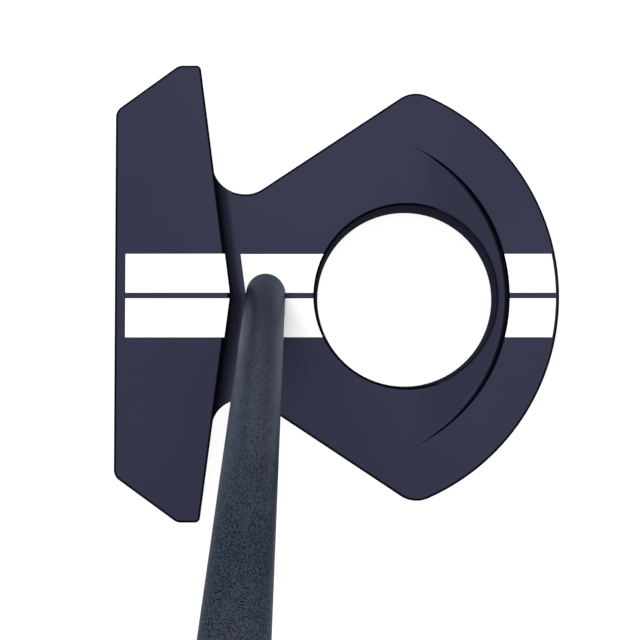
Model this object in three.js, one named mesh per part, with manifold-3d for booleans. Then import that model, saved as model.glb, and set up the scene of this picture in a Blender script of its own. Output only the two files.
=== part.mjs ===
// A blade-and-ring mallet putter: a milled head with a ball-size hole, a straight-set shaft and a grip.
// Millimetres. +Z is up from the sole, +X points from the face to the rear, +Y points to the toe.
// The origin lies on the sole, on the centre line of the stripes, below the place where the shaft enters.

import * as THREE from "three";
import { mergeVertices } from "three/addons/utils/BufferGeometryUtils.js";
import Module from "manifold-3d";

const wasm = await Module();
wasm.setup();

// ---------------------------------------------------------------- driving dimensions

const BAR_HEIGHT = 24.6; // top of the face bar above the sole
const DECK_HEIGHT = 18.4; // top of the neck, the wings and the rear rim
const LOFT = THREE.MathUtils.degToRad(2);
const BACK_DRAFT = THREE.MathUtils.degToRad(8); // the bar's back wall leans in towards the sole

const FACE_X = -35.1; // top edge of the face
const BAR_CENTRE_Y = 0.5; // the bar reaches a little further at the toe than at the heel
const BAR_HALF_LENGTH = 53.7;
const BAR_FRONT_HALF = 43; // half length of the straight front edge
const BAR_END_X = -20.2; // where each slanted front corner meets the bar's end
const BAR_BACK_X = -8; // the bar's back edge on the centre line
const BAR_BACK_SLOPE = 0.13; // how far the back edge runs forward for each millimetre outwards
const BAR_CORNER_RADII = { front: 3, end: 2.8, back: 1.2, backCentre: 3 };

const WING_POINT = new THREE.Vector2(14.45, 35.8); // a point on the straight wing edge
const WING_ANGLE = THREE.MathUtils.degToRad(33.4);
const WAIST_RADIUS = 7.2;
const APEX_RADIUS = 6.8;
const REAR_CENTRE_X = 17.3;
const REAR_RADIUS = 52.5;

const HOLE_X = 33.6; // the ball-size hole
const HOLE_RADIUS = 21.75;
const CRESCENT_X = 17.7; // the step in front of the raised rear rim
const CRESCENT_RADIUS = 39.85;
const POCKET_START_X = 36.6; // the floor inside the crescent starts to fall here
const POCKET_SLOPE = THREE.MathUtils.degToRad(8);
const FILLET_RADIUS = 2.8; // between the bar's back wall and the neck

const STRIPE_INNER = 0.6; // the white stripes, from the centre line outwards
const STRIPE_OUTER = 9.9;
const PAINT_DEPTH = 0.3;
const PAINT_THICKNESS = 0.25;
const CLEARANCE = 0.1; // between pieces that rest in or on each other
const STRIPE_FRONT_X = -32.1;
const NECK_STRIPE_SETBACK = 3.3; // from the bar's back edge to the start of the neck stripes
const RIM_MARGIN = 0.9; // from the rear edge to the end of the rim stripes

const INSERT = { length: 72, height: 16.5, corner: 3.5, thickness: 3, centreZ: 12 };
const BOND_FILM = 0.4;
const INSERT_GAP = 0.3;

const WEIGHT_RADIUS = 4;
const WEIGHT_LENGTH = 8;
const WEIGHT_RECESS = 0.6; // below the sole's surface
const WEIGHT_GAP = 0.3;
const SOCKET_ACROSS_FLATS = 4;
const SOCKET_DEPTH = 3;
const WEIGHT_PLACES = {
  bar_outer: [-26, 41],
  bar_inner: [-21.5, 21],
  wing: [31, 35.5],
  rear: [57.3, 21.5],
};

const LIE = THREE.MathUtils.degToRad(71); // shaft to ground, leaning towards the heel
const SHAFT_ENTRY_Y = 0.4; // where its axis meets the deck, a little towards the toe
const SHAFT_SETBACK = THREE.MathUtils.degToRad(2.2); // the shaft's small lean towards the rear
const SHAFT_TIP_RADIUS = 4.7;
const SHAFT_BUTT_RADIUS = 7.6;
const SHAFT_WALL = 0.75;
const TIP_STATION = 5.4; // stations are distances along the shaft's axis from the sole
const TAPER_STATION = 210;
const BUTT_STATION = 858;
const BOND_GAP = 0.15;
const BOND_THICKNESS = 0.35;
const TIP_PLUG_LENGTH = 10;

const GRIP_LENGTH = 267;
const GRIP_BUTT_WIDTH = 27;
const GRIP_TIP_WIDTH = 19;
const GRIP_WALL_GAP = 0.6; // bore of the grip over the shaft, filled by the tape
const TAPE_LENGTH = 255;
const CAP_THICKNESS = 3;

const ROUND_STEPS = 32; // facets round a shaft, a bore or a weight
const WIDE_STEPS = 96; // facets round the ball-size hole and the crescent
const CHORD_ERROR = 0.03; // how far a facet may cut inside an outline's arc
const THROUGH = 60; // a cut this long runs right through the head

// ---------------------------------------------------------------- solids

// A closed geometry as a manifold solid.
function solidOf(geometry) {
  const bare = geometry.clone();
  bare.deleteAttribute("normal");
  bare.deleteAttribute("uv");
  const merged = mergeVertices(bare, 1e-4);
  const vertProperties = new Float32Array(merged.attributes.position.array);
  const triVerts = new Uint32Array(merged.index.array);
  return new wasm.Manifold(new wasm.Mesh({ numProp: 3, vertProperties, triVerts }));
}

// A manifold solid as a flat-shaded geometry.
function geometryOf(solid) {
  const mesh = solid.getMesh();
  const geometry = new THREE.BufferGeometry();
  geometry.setAttribute("position", new THREE.BufferAttribute(mesh.vertProperties, 3));
  geometry.setIndex(new THREE.BufferAttribute(mesh.triVerts, 1));
  const flat = geometry.toNonIndexed();
  flat.computeVertexNormals();
  return flat;
}

// A plan outline pulled up from bottom to top.
function prism(points, bottom, top) {
  const options = { depth: top - bottom, bevelEnabled: false };
  return new THREE.ExtrudeGeometry(new THREE.Shape(points), options).translate(0, 0, bottom);
}

// A cylinder that stands along Z, with its centre line at x, y.
function post(radius, bottom, top, x = 0, y = 0, steps = ROUND_STEPS) {
  const geometry = new THREE.CylinderGeometry(radius, radius, top - bottom, steps);
  return geometry.rotateX(Math.PI / 2).translate(x, y, (top + bottom) / 2);
}

// A closed ring of revolution about Z from a list of [radius, height] corners.
function turned(profile, steps = ROUND_STEPS) {
  const points = [...profile, profile[0]].map(([radius, height]) => new THREE.Vector2(radius, height));
  return new THREE.LatheGeometry(points, steps).rotateX(Math.PI / 2);
}

// ---------------------------------------------------------------- outlines

// How many facets an arc needs.
function arcSteps(radius, sweep) {
  const facet = 2 * Math.acos(1 - CHORD_ERROR / radius);
  return Math.max(3, Math.ceil(Math.abs(sweep) / facet));
}

// Points on an arc round a centre, from one point to another by the shorter way.
function arcBetween(centre, start, end) {
  const from = start.clone().sub(centre).angle();
  let sweep = end.clone().sub(centre).angle() - from;
  if (sweep > Math.PI) sweep -= 2 * Math.PI;
  if (sweep < -Math.PI) sweep += 2 * Math.PI;
  const radius = start.distanceTo(centre);
  const steps = arcSteps(radius, sweep);
  return Array.from({ length: steps + 1 }, (_, i) => {
    const angle = from + (sweep * i) / steps;
    return new THREE.Vector2(Math.cos(angle), Math.sin(angle)).multiplyScalar(radius).add(centre);
  });
}

// The rounded corner between two straight edges.
function roundCorner(before, corner, after, radius) {
  const toBefore = before.clone().sub(corner).normalize();
  const toAfter = after.clone().sub(corner).normalize();
  const half = Math.acos(toBefore.dot(toAfter)) / 2;
  const bisector = toBefore.clone().add(toAfter).normalize();
  const centre = corner.clone().addScaledVector(bisector, radius / Math.sin(half));
  const start = corner.clone().addScaledVector(toBefore, radius / Math.tan(half));
  const end = corner.clone().addScaledVector(toAfter, radius / Math.tan(half));
  return arcBetween(centre, start, end);
}

const backEdgeX = (y) => BAR_BACK_X - BAR_BACK_SLOPE * Math.abs(y);
const wingDirection = new THREE.Vector2(Math.cos(WING_ANGLE), Math.sin(WING_ANGLE));

// The toe-side corner where the bar's back edge would meet the wing edge.
function waistCorner() {
  const slope = Math.tan(WING_ANGLE);
  const wingAtZero = WING_POINT.y - slope * WING_POINT.x;
  const y = (wingAtZero + slope * BAR_BACK_X) / (1 + slope * BAR_BACK_SLOPE);
  return new THREE.Vector2(backEdgeX(y), y);
}

// The centre of the toe-side waist arc, tangent to the bar's back edge and to the wing edge.
function waistCentre() {
  const corner = waistCorner();
  const alongBack = new THREE.Vector2(-BAR_BACK_SLOPE, 1).normalize();
  const bisector = alongBack.clone().add(wingDirection).normalize();
  const half = Math.acos(alongBack.dot(wingDirection)) / 2;
  return corner.addScaledVector(bisector, WAIST_RADIUS / Math.sin(half));
}

// The toe-side apex: a fillet tangent to the wing edge and, from inside, to the rear arc.
function apexArc() {
  const inward = new THREE.Vector2(wingDirection.y, -wingDirection.x);
  const rearCentre = new THREE.Vector2(REAR_CENTRE_X, 0);
  const offset = WING_POINT.clone().addScaledVector(inward, APEX_RADIUS).sub(rearCentre);
  const along = offset.dot(wingDirection);
  const reach = REAR_RADIUS - APEX_RADIUS;
  const run = -along + Math.sqrt(along * along - offset.lengthSq() + reach * reach);
  const centre = offset.clone().addScaledVector(wingDirection, run).add(rearCentre);
  const onWing = centre.clone().addScaledVector(inward, -APEX_RADIUS);
  const outward = centre.clone().sub(rearCentre).normalize();
  const onRear = rearCentre.clone().addScaledVector(outward, REAR_RADIUS);
  return arcBetween(centre, onWing, onRear);
}

const mirrored = (points) => points.map((p) => new THREE.Vector2(p.x, -p.y));

// Neck, wings and ring, from a line inside the bar to the rear.
function deckOutline() {
  const insideBar = new THREE.Vector2(BAR_END_X, waistCorner().y);
  const corner = waistCorner();
  const up = new THREE.Vector2(backEdgeX(corner.y + 20), corner.y + 20);
  const waist = roundCorner(up, corner, corner.clone().add(wingDirection), WAIST_RADIUS);
  const apex = apexArc();
  const rear = arcBetween(
    new THREE.Vector2(REAR_CENTRE_X, 0),
    apex[apex.length - 1],
    new THREE.Vector2(REAR_CENTRE_X + REAR_RADIUS, 0),
  );
  const toe = [insideBar, ...waist, ...apex, ...rear.slice(1)];
  return [...toe, ...mirrored(toe).reverse().slice(1)];
}

// The corners of the face bar's top, with the radius of each, from the heel front round to the toe front.
function barOutline() {
  const corners = [1, -1].map((side) => {
    const endY = BAR_CENTRE_Y + side * BAR_HALF_LENGTH;
    return [
      [FACE_X, BAR_CENTRE_Y + side * BAR_FRONT_HALF, BAR_CORNER_RADII.front],
      [BAR_END_X, endY, BAR_CORNER_RADII.end],
      [backEdgeX(endY), endY, BAR_CORNER_RADII.back],
    ];
  });
  const loop = [...corners[0], [BAR_BACK_X, 0, BAR_CORNER_RADII.backCentre], ...corners[1].reverse()];
  const at = (i) => new THREE.Vector2(...loop[(i + loop.length) % loop.length]);
  return loop.flatMap((corner, i) => roundCorner(at(i - 1), at(i), at(i + 1), corner[2]));
}

// ---------------------------------------------------------------- head

// Moves each vertex forward by its depth below the top of the bar, times the tangent that leanAt gives.
function leanForward(geometry, leanAt) {
  const place = geometry.attributes.position;
  for (let i = 0; i < place.count; i++) {
    const depth = BAR_HEIGHT - place.getZ(i);
    place.setX(i, place.getX(i) - depth * leanAt(place.getX(i), place.getY(i)));
  }
  return geometry;
}

// The face leans back by the loft, and the back wall leans in towards the sole.
function barLean(x, y) {
  const share = THREE.MathUtils.clamp((x - FACE_X) / (backEdgeX(y) - FACE_X), 0, 1);
  return THREE.MathUtils.lerp(Math.tan(LOFT), Math.tan(BACK_DRAFT), share);
}

// The waist's curve follows the bar's back wall where it touches it, and stands upright at its narrowest.
function waistLean(x, y) {
  const { x: narrowX } = waistCentre();
  return Math.tan(BACK_DRAFT) * THREE.MathUtils.clamp((narrowX - x) / (narrowX - backEdgeX(y)), 0, 1);
}

// The concave fillet along one half of the bar's back wall, laid on the neck.
function filletStrip(side) {
  const size = FILLET_RADIUS;
  const at = (x, y) => new THREE.Vector2(x, y);
  const round = arcBetween(at(size, size), at(0, size), at(size, 0));
  const buried = [at(size, -1), at(-size, -1), at(-size, size)];
  const [length, past] = [30, 1];
  const strip = prism([...round, ...buried], 0, length).rotateX(Math.PI / 2);
  strip.translate(0, side > 0 ? length - past : past, 0).rotateZ(side * Math.atan(BAR_BACK_SLOPE));
  const footX = BAR_BACK_X - (BAR_HEIGHT - DECK_HEIGHT) * Math.tan(BACK_DRAFT);
  return strip.translate(footX, 0, DECK_HEIGHT);
}

// Everything above the sloping floor inside the crescent.
function pocketCutter() {
  const wedge = new THREE.BoxGeometry(THROUGH, THROUGH * 2, THROUGH).translate(THROUGH / 2, 0, THROUGH / 2);
  wedge.rotateY(POCKET_SLOPE).translate(POCKET_START_X, 0, DECK_HEIGHT);
  return solidOf(wedge).intersect(solidOf(post(CRESCENT_RADIUS, 0, THROUGH, CRESCENT_X, 0, WIDE_STEPS)));
}

const stationAxis = new THREE.Vector3(Math.sin(SHAFT_SETBACK), -Math.cos(LIE), Math.sin(LIE)).normalize();

// Places a piece that is built along +Z on the shaft's axis, with station 0 on the sole.
const shaftTurn = new THREE.Quaternion().setFromUnitVectors(new THREE.Vector3(0, 0, 1), stationAxis);
const shaftEntry = new THREE.Vector3(0, SHAFT_ENTRY_Y, DECK_HEIGHT);
const shaftFoot = shaftEntry.addScaledVector(stationAxis, -DECK_HEIGHT / stationAxis.z);
const shaftPlace = new THREE.Matrix4().compose(shaftFoot, shaftTurn, new THREE.Vector3(1, 1, 1));

const boreRadius = SHAFT_TIP_RADIUS + 2 * BOND_GAP + BOND_THICKNESS;
const shaftBore = () => post(boreRadius, TIP_STATION - INSERT_GAP, THROUGH).applyMatrix4(shaftPlace);

// A rounded rectangle on the face, from its surface inwards; grown is a clearance on each side.
function facePlate(front, back, grown) {
  const [halfY, halfZ] = [INSERT.length / 2 + grown, INSERT.height / 2 + grown];
  const corners = [[halfY, halfZ], [-halfY, halfZ], [-halfY, -halfZ], [halfY, -halfZ]];
  const at = (i) => new THREE.Vector2(...corners[(i + 4) % 4]);
  const outline = corners.flatMap((_, i) => roundCorner(at(i - 1), at(i), at(i + 1), INSERT.corner + grown));
  return prism(outline, front, back).rotateX(Math.PI / 2).rotateZ(Math.PI / 2);
}

// The face's own frame: its origin at the insert's centre, +X into the head.
const faceFrame = new THREE.Object3D();
faceFrame.rotation.y = LOFT;
faceFrame.position.set(FACE_X - (BAR_HEIGHT - INSERT.centreZ) * Math.tan(LOFT), 0, INSERT.centreZ);
faceFrame.updateMatrix();

const weightSites = Object.entries(WEIGHT_PLACES).flatMap(([name, [x, y]]) => [
  { name: `sole_weight_${name}_toe`, x, y },
  { name: `sole_weight_${name}_heel`, x, y: -y },
]);

// ---------------------------------------------------------------- paint

// The plan outline of one stripe, running between two curves of x over y.
function stripeOutline(side, startX, endX, grown) {
  const [inner, outer] = [STRIPE_INNER - grown, STRIPE_OUTER + grown];
  const steps = 6;
  const rows = Array.from({ length: steps + 1 }, (_, i) => side * (inner + ((outer - inner) * i) / steps));
  const near = rows.map((y) => new THREE.Vector2(startX(y) - grown, y));
  const far = rows.map((y) => new THREE.Vector2(endX(y) + grown, y));
  return [...near, ...far.reverse()];
}

const arcX = (centreX, radius, sign) => (y) => centreX + sign * Math.sqrt(radius * radius - y * y);

const STRIPES = {
  face: { start: () => STRIPE_FRONT_X, end: (y) => backEdgeX(y) - 0.6, top: BAR_HEIGHT },
  neck: {
    start: (y) => backEdgeX(y) + NECK_STRIPE_SETBACK,
    end: arcX(HOLE_X, HOLE_RADIUS + 0.6, -1),
    top: DECK_HEIGHT,
  },
  rim: {
    start: arcX(CRESCENT_X, CRESCENT_RADIUS + 0.6, 1),
    end: arcX(REAR_CENTRE_X, REAR_RADIUS - RIM_MARGIN, 1),
    top: DECK_HEIGHT,
  },
};

const stripes = Object.entries(STRIPES).flatMap(([place, stripe]) =>
  [1, -1].map((side) => ({ name: `paint_${place}_${side > 0 ? "toe" : "heel"}`, side, ...stripe })),
);

function stripePrism({ side, start, end, top }, grown, bottom, height) {
  return prism(stripeOutline(side, start, end, grown), top + bottom, top + height);
}

function paintFill(stripe) {
  const fill = solidOf(stripePrism(stripe, 0, -PAINT_DEPTH, PAINT_THICKNESS - PAINT_DEPTH));
  const clearance = post(boreRadius + CLEARANCE, TIP_STATION, THROUGH).applyMatrix4(shaftPlace);
  return geometryOf(fill.subtract(solidOf(clearance)));
}

function headBody() {
  const pocketDepth = INSERT.thickness + BOND_FILM + 2 * INSERT_GAP;
  let body = solidOf(leanForward(prism(deckOutline(), 0, DECK_HEIGHT), waistLean));
  body = body.add(solidOf(leanForward(prism(barOutline(), 0, BAR_HEIGHT), barLean)));
  const overDeck = solidOf(leanForward(prism(deckOutline(), 0, BAR_HEIGHT), waistLean));
  for (const side of [1, -1]) body = body.add(solidOf(filletStrip(side)).intersect(overDeck));
  const cuts = [
    solidOf(post(HOLE_RADIUS, -THROUGH, THROUGH, HOLE_X, 0, WIDE_STEPS)),
    pocketCutter(),
    solidOf(shaftBore()),
    solidOf(facePlate(-5, pocketDepth, INSERT_GAP).applyMatrix4(faceFrame.matrix)),
    ...weightSites.map(({ x, y }) => {
      const depth = WEIGHT_LENGTH + WEIGHT_RECESS + WEIGHT_GAP;
      return solidOf(post(WEIGHT_RADIUS + WEIGHT_GAP, -5, depth, x, y));
    }),
    ...stripes.map((stripe) => solidOf(stripePrism(stripe, CLEARANCE, -PAINT_DEPTH, 5))),
  ];
  for (const cut of cuts) body = body.subtract(cut);
  return geometryOf(body);
}

function soleWeight() {
  const plug = solidOf(post(WEIGHT_RADIUS, WEIGHT_RECESS, WEIGHT_RECESS + WEIGHT_LENGTH));
  const socketRadius = SOCKET_ACROSS_FLATS / Math.sqrt(3);
  const socket = post(socketRadius, -1, WEIGHT_RECESS + SOCKET_DEPTH, 0, 0, 6);
  return geometryOf(plug.subtract(solidOf(socket)));
}

// ---------------------------------------------------------------- shaft and grip

// The shaft's outer radius at a station: parallel at the tip, then one even taper.
function shaftRadius(station) {
  const share = THREE.MathUtils.clamp((station - TAPER_STATION) / (BUTT_STATION - TAPER_STATION), 0, 1);
  return SHAFT_TIP_RADIUS + share * (SHAFT_BUTT_RADIUS - SHAFT_TIP_RADIUS);
}

// A sleeve that follows the shaft between two stations, from one clearance over it to another.
function sleeve(from, to, inner, outer) {
  const stations = [from, TAPER_STATION, to].filter((s) => s >= from && s <= to);
  const outside = stations.map((s) => [shaftRadius(s) + outer, s]);
  const inside = stations.map((s) => [shaftRadius(s) + inner, s]).reverse();
  return turned([...outside, ...inside]);
}

const gripStart = BUTT_STATION - GRIP_LENGTH;

// The grip's section at full size: round at the back, with a flat front for the thumbs.
function gripSection() {
  const flat = 0.86;
  const half = Math.asin(flat) + Math.PI / 2;
  const steps = 22;
  const points = Array.from({ length: steps + 1 }, (_, i) => {
    const angle = half - (2 * half * i) / steps;
    return new THREE.Vector2(Math.sin(angle) * 0.5, -Math.cos(angle) * 0.5);
  });
  return points.reverse();
}

// The grip's width at a share of its length from its lower end.
function gripWidth(share) {
  const swell = Math.sin(Math.PI * THREE.MathUtils.clamp(share * 1.15, 0, 1));
  return GRIP_TIP_WIDTH + (GRIP_BUTT_WIDTH - GRIP_TIP_WIDTH) * share ** 0.8 + swell * 0.8;
}

function gripSolid(from, to, steps) {
  const options = { depth: to - from, steps, bevelEnabled: false };
  const geometry = new THREE.ExtrudeGeometry(new THREE.Shape(gripSection()), options).translate(0, 0, from);
  const place = geometry.attributes.position;
  for (let i = 0; i < place.count; i++) {
    const width = gripWidth((place.getZ(i) - gripStart) / GRIP_LENGTH);
    place.setXY(i, place.getX(i) * width, place.getY(i) * width);
  }
  return solidOf(geometry);
}

function grip() {
  const bore = sleeve(gripStart - 1, BUTT_STATION + 1, -3, GRIP_WALL_GAP);
  const core = post(SHAFT_BUTT_RADIUS - 1, gripStart - 1, BUTT_STATION + 1);
  return geometryOf(gripSolid(gripStart, BUTT_STATION, 14).subtract(solidOf(bore)).subtract(solidOf(core)));
}

function gripCap() {
  const top = gripSolid(BUTT_STATION + CLEARANCE, BUTT_STATION + CAP_THICKNESS, 1);
  const stem = post(SHAFT_BUTT_RADIUS - SHAFT_WALL - 0.3, BUTT_STATION - 12, BUTT_STATION + 1);
  return geometryOf(top.add(solidOf(stem)));
}

// ---------------------------------------------------------------- finishes and assembly

const FINISHES = {
  anodised: { color: 0x3a3c4c, roughness: 0.5, metalness: 0.7 },
  paint: { color: 0xfcfdfd, roughness: 0.35, metalness: 0 },
  steel: { color: 0xa9abb0, roughness: 0.35, metalness: 1 },
  weight: { color: 0x54565c, roughness: 0.4, metalness: 1 },
  bond: { color: 0x8b8a80, roughness: 0.3, metalness: 0 },
  shaft: { color: 0x3f4654, roughness: 0.45, metalness: 0.6 },
  plug: { color: 0xb08a58, roughness: 0.9, metalness: 0 },
  tape: { color: 0xd8d2c0, roughness: 0.9, metalness: 0 },
  rubber: { color: 0x1d1f24, roughness: 0.85, metalness: 0 },
  cap: { color: 0x15161a, roughness: 0.5, metalness: 0 },
};

function piece(name, geometry, finish) {
  const mesh = new THREE.Mesh(geometry, new THREE.MeshStandardMaterial(FINISHES[finish]));
  mesh.name = name;
  return mesh;
}

function headGroup() {
  const head = new THREE.Group();
  head.add(piece("head_body", headBody(), "anodised"));
  for (const stripe of stripes) head.add(piece(stripe.name, paintFill(stripe), "paint"));
  for (const { name, x, y } of weightSites) {
    const weight = piece(name, soleWeight(), "weight");
    weight.position.set(x, y, 0);
    head.add(weight);
  }
  return head;
}

function faceGroup() {
  const face = new THREE.Group();
  face.applyMatrix4(faceFrame.matrix);
  const filmFront = INSERT.thickness + INSERT_GAP;
  face.add(piece("face_insert", facePlate(0, INSERT.thickness, 0), "steel"));
  face.add(piece("insert_bond", facePlate(filmFront, filmFront + BOND_FILM, -1), "bond"));
  return face;
}

function shaftGroup() {
  const group = new THREE.Group();
  group.applyMatrix4(shaftPlace);
  const bondTop = (DECK_HEIGHT - 2.2) / Math.sin(LIE);
  const tapeStart = BUTT_STATION - TAPE_LENGTH;
  group.add(piece("shaft", sleeve(TIP_STATION, BUTT_STATION, -SHAFT_WALL, 0), "shaft"));
  group.add(piece("shaft_bond", sleeve(TIP_STATION, bondTop, BOND_GAP, BOND_GAP + BOND_THICKNESS), "bond"));
  const plugRadius = SHAFT_TIP_RADIUS - SHAFT_WALL - CLEARANCE;
  group.add(piece("shaft_tip_plug", post(plugRadius, TIP_STATION, TIP_STATION + TIP_PLUG_LENGTH), "plug"));
  group.add(piece("grip_tape", sleeve(tapeStart, BUTT_STATION, BOND_GAP, BOND_GAP + 0.3), "tape"));
  group.add(piece("grip", grip(), "rubber"));
  group.add(piece("grip_cap", gripCap(), "cap"));
  return group;
}

const putter = new THREE.Group();
putter.name = "mallet_putter";
putter.add(headGroup(), faceGroup(), shaftGroup());

export default putter;
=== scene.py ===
# %% [markdown]
# # A mallet putter
# A putter is a short list of pieces: a milled metal head, a steel shaft glued into it, and a rubber grip.
# The CAD model of it is already packed, and it is the frame here: it says where each piece sits and how big
# it is. This lesson builds the fine pieces round that frame and gives each of them its finish.
# The frame is loaded first. Its box is kept, because the finished model has to fit in it.

import math

import bmesh
import bpy
from mathutils import Matrix, Vector


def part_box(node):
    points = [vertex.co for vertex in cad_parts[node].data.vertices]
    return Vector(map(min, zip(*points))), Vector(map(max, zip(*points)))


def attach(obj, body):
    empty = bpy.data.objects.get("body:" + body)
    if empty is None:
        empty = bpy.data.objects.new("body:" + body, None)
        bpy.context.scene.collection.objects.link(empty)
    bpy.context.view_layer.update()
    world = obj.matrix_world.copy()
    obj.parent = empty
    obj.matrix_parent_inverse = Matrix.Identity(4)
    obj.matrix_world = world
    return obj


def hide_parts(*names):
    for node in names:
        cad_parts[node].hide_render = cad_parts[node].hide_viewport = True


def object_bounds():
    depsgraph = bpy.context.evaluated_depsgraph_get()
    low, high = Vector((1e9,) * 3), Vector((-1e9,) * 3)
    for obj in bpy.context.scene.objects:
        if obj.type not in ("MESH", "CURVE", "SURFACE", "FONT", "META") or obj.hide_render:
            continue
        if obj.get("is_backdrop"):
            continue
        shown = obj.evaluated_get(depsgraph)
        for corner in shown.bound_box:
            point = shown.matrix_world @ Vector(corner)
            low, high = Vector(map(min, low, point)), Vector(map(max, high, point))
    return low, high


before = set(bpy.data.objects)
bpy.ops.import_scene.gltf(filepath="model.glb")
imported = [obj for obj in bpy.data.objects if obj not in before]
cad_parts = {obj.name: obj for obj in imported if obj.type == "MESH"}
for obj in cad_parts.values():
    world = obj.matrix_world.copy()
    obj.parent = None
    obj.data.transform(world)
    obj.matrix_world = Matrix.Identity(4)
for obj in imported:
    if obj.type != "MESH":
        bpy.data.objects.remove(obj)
cad_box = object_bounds()
BODY = "root"
print("the club stands", round(cad_box[1].z * 1000), "mm tall and has", len(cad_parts), "CAD nodes")


# %% [markdown]
# ## The camera
# A golfer looks straight down on a putter, so the camera hangs about a third of a metre above the sole, and
# leans a degree or two, as a head does. The shaft rises past it on the heel side. A camera could be aimed
# with a Track To constraint. Two small angles are plainer here, because they say how far the view leans.

# %% The camera above the head
MM = 0.001
EYE_HEIGHT = 338.1 * MM
EYE_PAST_CENTRE = 4.3 * MM
EYE_TO_HEEL = 17.1 * MM
EYE_PITCH = 0.0341
EYE_YAW = 0.0258
LENS = 75.6

head_low, head_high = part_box("head_body")
head_middle = (head_low + head_high) / 2


def make_camera():
    """A camera on the heel side of the head's middle, looking a little towards the toe and the face."""
    camera = bpy.data.objects.new("golfer_view", bpy.data.cameras.new("golfer_view"))
    camera.data.lens = LENS
    camera.data.clip_start = 0.01
    camera.location = (head_middle.x + EYE_PAST_CENTRE, head_middle.y - EYE_TO_HEEL, EYE_HEIGHT)
    turn = Matrix.Rotation(EYE_PITCH, 3, "X") @ Matrix.Rotation(EYE_YAW, 3, "Y")
    camera.rotation_euler = turn.to_euler()
    bpy.context.scene.collection.objects.link(camera)
    bpy.context.scene.camera = camera
    return camera


view_camera = make_camera()
print("the eye is at", [round(c * 1000, 1) for c in view_camera.location], "mm")


# %% [markdown]
# ## Floor and light
# Dark anodised metal has almost no colour of its own to show: what one sees is the room mirrored in it. So
# the light is one wide soft panel overhead, a little to the toe side, and the room round it is much dimmer.
# Flat tops mirror the panel, and the rounded edges mirror the dim room, which helps to draw them darker.
# The floor is a pale light table: it glows a little, so that the head throws no hard shadow.
# The camera sees a brighter backdrop than the one that lights the club, so that a side view stays pale.

# %% Floor, panel and room
PANEL_HEIGHT = 1.45
PANEL_TO_TOE = 0.28
PANEL_SIZE = 1.5
PANEL_POWER = 27.0
ROOM_LIGHT = 0.4
BACKDROP = 0.92
FLOOR_GLOW = 0.9
FLOOR_SIZE = 120.0
FLOOR_DROP = 0.0002
FLOOR_TONES = ((0.16, 0.16, 0.16, 1), (0.19, 0.19, 0.19, 1))


def make_floor():
    """A pale floor that glows softly, with a faint cloudiness so that it isn't one flat colour."""
    mesh = bpy.data.meshes.new("floor")
    half = FLOOR_SIZE / 2
    corners = [(-half, -half), (half, -half), (half, half), (-half, half)]
    mesh.from_pydata([(x, y, -FLOOR_DROP) for x, y in corners], [], [(0, 1, 2, 3)])
    floor = bpy.data.objects.new("floor", mesh)
    bpy.context.scene.collection.objects.link(floor)
    material = bpy.data.materials.new("light_table")
    material.use_nodes = True
    tree = material.node_tree
    shader = tree.nodes["Principled BSDF"]
    shader.inputs["Roughness"].default_value = 0.9
    shader.inputs["Specular IOR Level"].default_value = 0.1
    shader.inputs["Emission Color"].default_value = (1, 1, 1, 1)
    shader.inputs["Emission Strength"].default_value = FLOOR_GLOW
    cloud = tree.nodes.new("ShaderNodeTexNoise")
    cloud.inputs["Scale"].default_value = 1.5
    tint = tree.nodes.new("ShaderNodeValToRGB")
    for element, tone in zip(tint.color_ramp.elements, FLOOR_TONES):
        element.color = tone
    where = tree.nodes.new("ShaderNodeTexCoord")
    tree.links.new(where.outputs["Object"], cloud.inputs["Vector"])
    tree.links.new(cloud.outputs["Fac"], tint.inputs["Fac"])
    tree.links.new(tint.outputs["Color"], shader.inputs["Base Color"])
    mesh.materials.append(material)
    floor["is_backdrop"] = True
    return floor


def make_light():
    """One soft panel overhead, and a room that is dim on the club and bright behind it."""
    panel = bpy.data.objects.new("panel", bpy.data.lights.new("panel", "AREA"))
    panel.data.shape = "SQUARE"
    panel.data.size = PANEL_SIZE
    panel.data.energy = PANEL_POWER
    panel.location = (head_middle.x, PANEL_TO_TOE, PANEL_HEIGHT)
    aim = Vector((head_middle.x, 0, 0)) - panel.location
    panel.rotation_euler = aim.to_track_quat("-Z", "Y").to_euler()
    bpy.context.scene.collection.objects.link(panel)
    room = bpy.data.worlds.new("room")
    room.use_nodes = True
    sky = room.node_tree.nodes["Background"]
    sky.inputs["Color"].default_value = (1, 1, 1, 1)
    seen = room.node_tree.nodes.new("ShaderNodeLightPath")
    level = room.node_tree.nodes.new("ShaderNodeMapRange")
    level.inputs["To Min"].default_value = ROOM_LIGHT
    level.inputs["To Max"].default_value = BACKDROP
    room.node_tree.links.new(seen.outputs["Is Camera Ray"], level.inputs["Value"])
    room.node_tree.links.new(level.outputs["Result"], sky.inputs["Strength"])
    bpy.context.scene.world = room
    bpy.context.scene.view_settings.view_transform = "Standard"


make_floor()
make_light()
print("one panel of", PANEL_SIZE, "m at", PANEL_HEIGHT, "m")


# %% [markdown]
# ## Small tools for shapes
# The head is machined from flat stock: every wall is a plan outline pulled upwards. Its straight lines and
# arcs are worked out here as lists of points, in millimetres. A modeller could draw them as curves and
# convert them. Points from a formula keep each arc exactly tangent to its neighbours.

# %% Arcs and rounded corners
CHORD_ERROR = 0.004


def arc_between(centre, start, end, least=6):
    """Points on the shorter arc round a centre, from start to end."""
    begin = math.atan2(start.y - centre.y, start.x - centre.x)
    sweep = math.atan2(end.y - centre.y, end.x - centre.x) - begin
    sweep = (sweep + math.pi) % math.tau - math.pi
    radius = (start - centre).length
    facet = 2 * math.acos(1 - CHORD_ERROR / radius)
    steps = max(least, math.ceil(abs(sweep) / facet))
    angles = [begin + sweep * i / steps for i in range(steps + 1)]
    return [centre + radius * Vector((math.cos(a), math.sin(a))) for a in angles]


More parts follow.
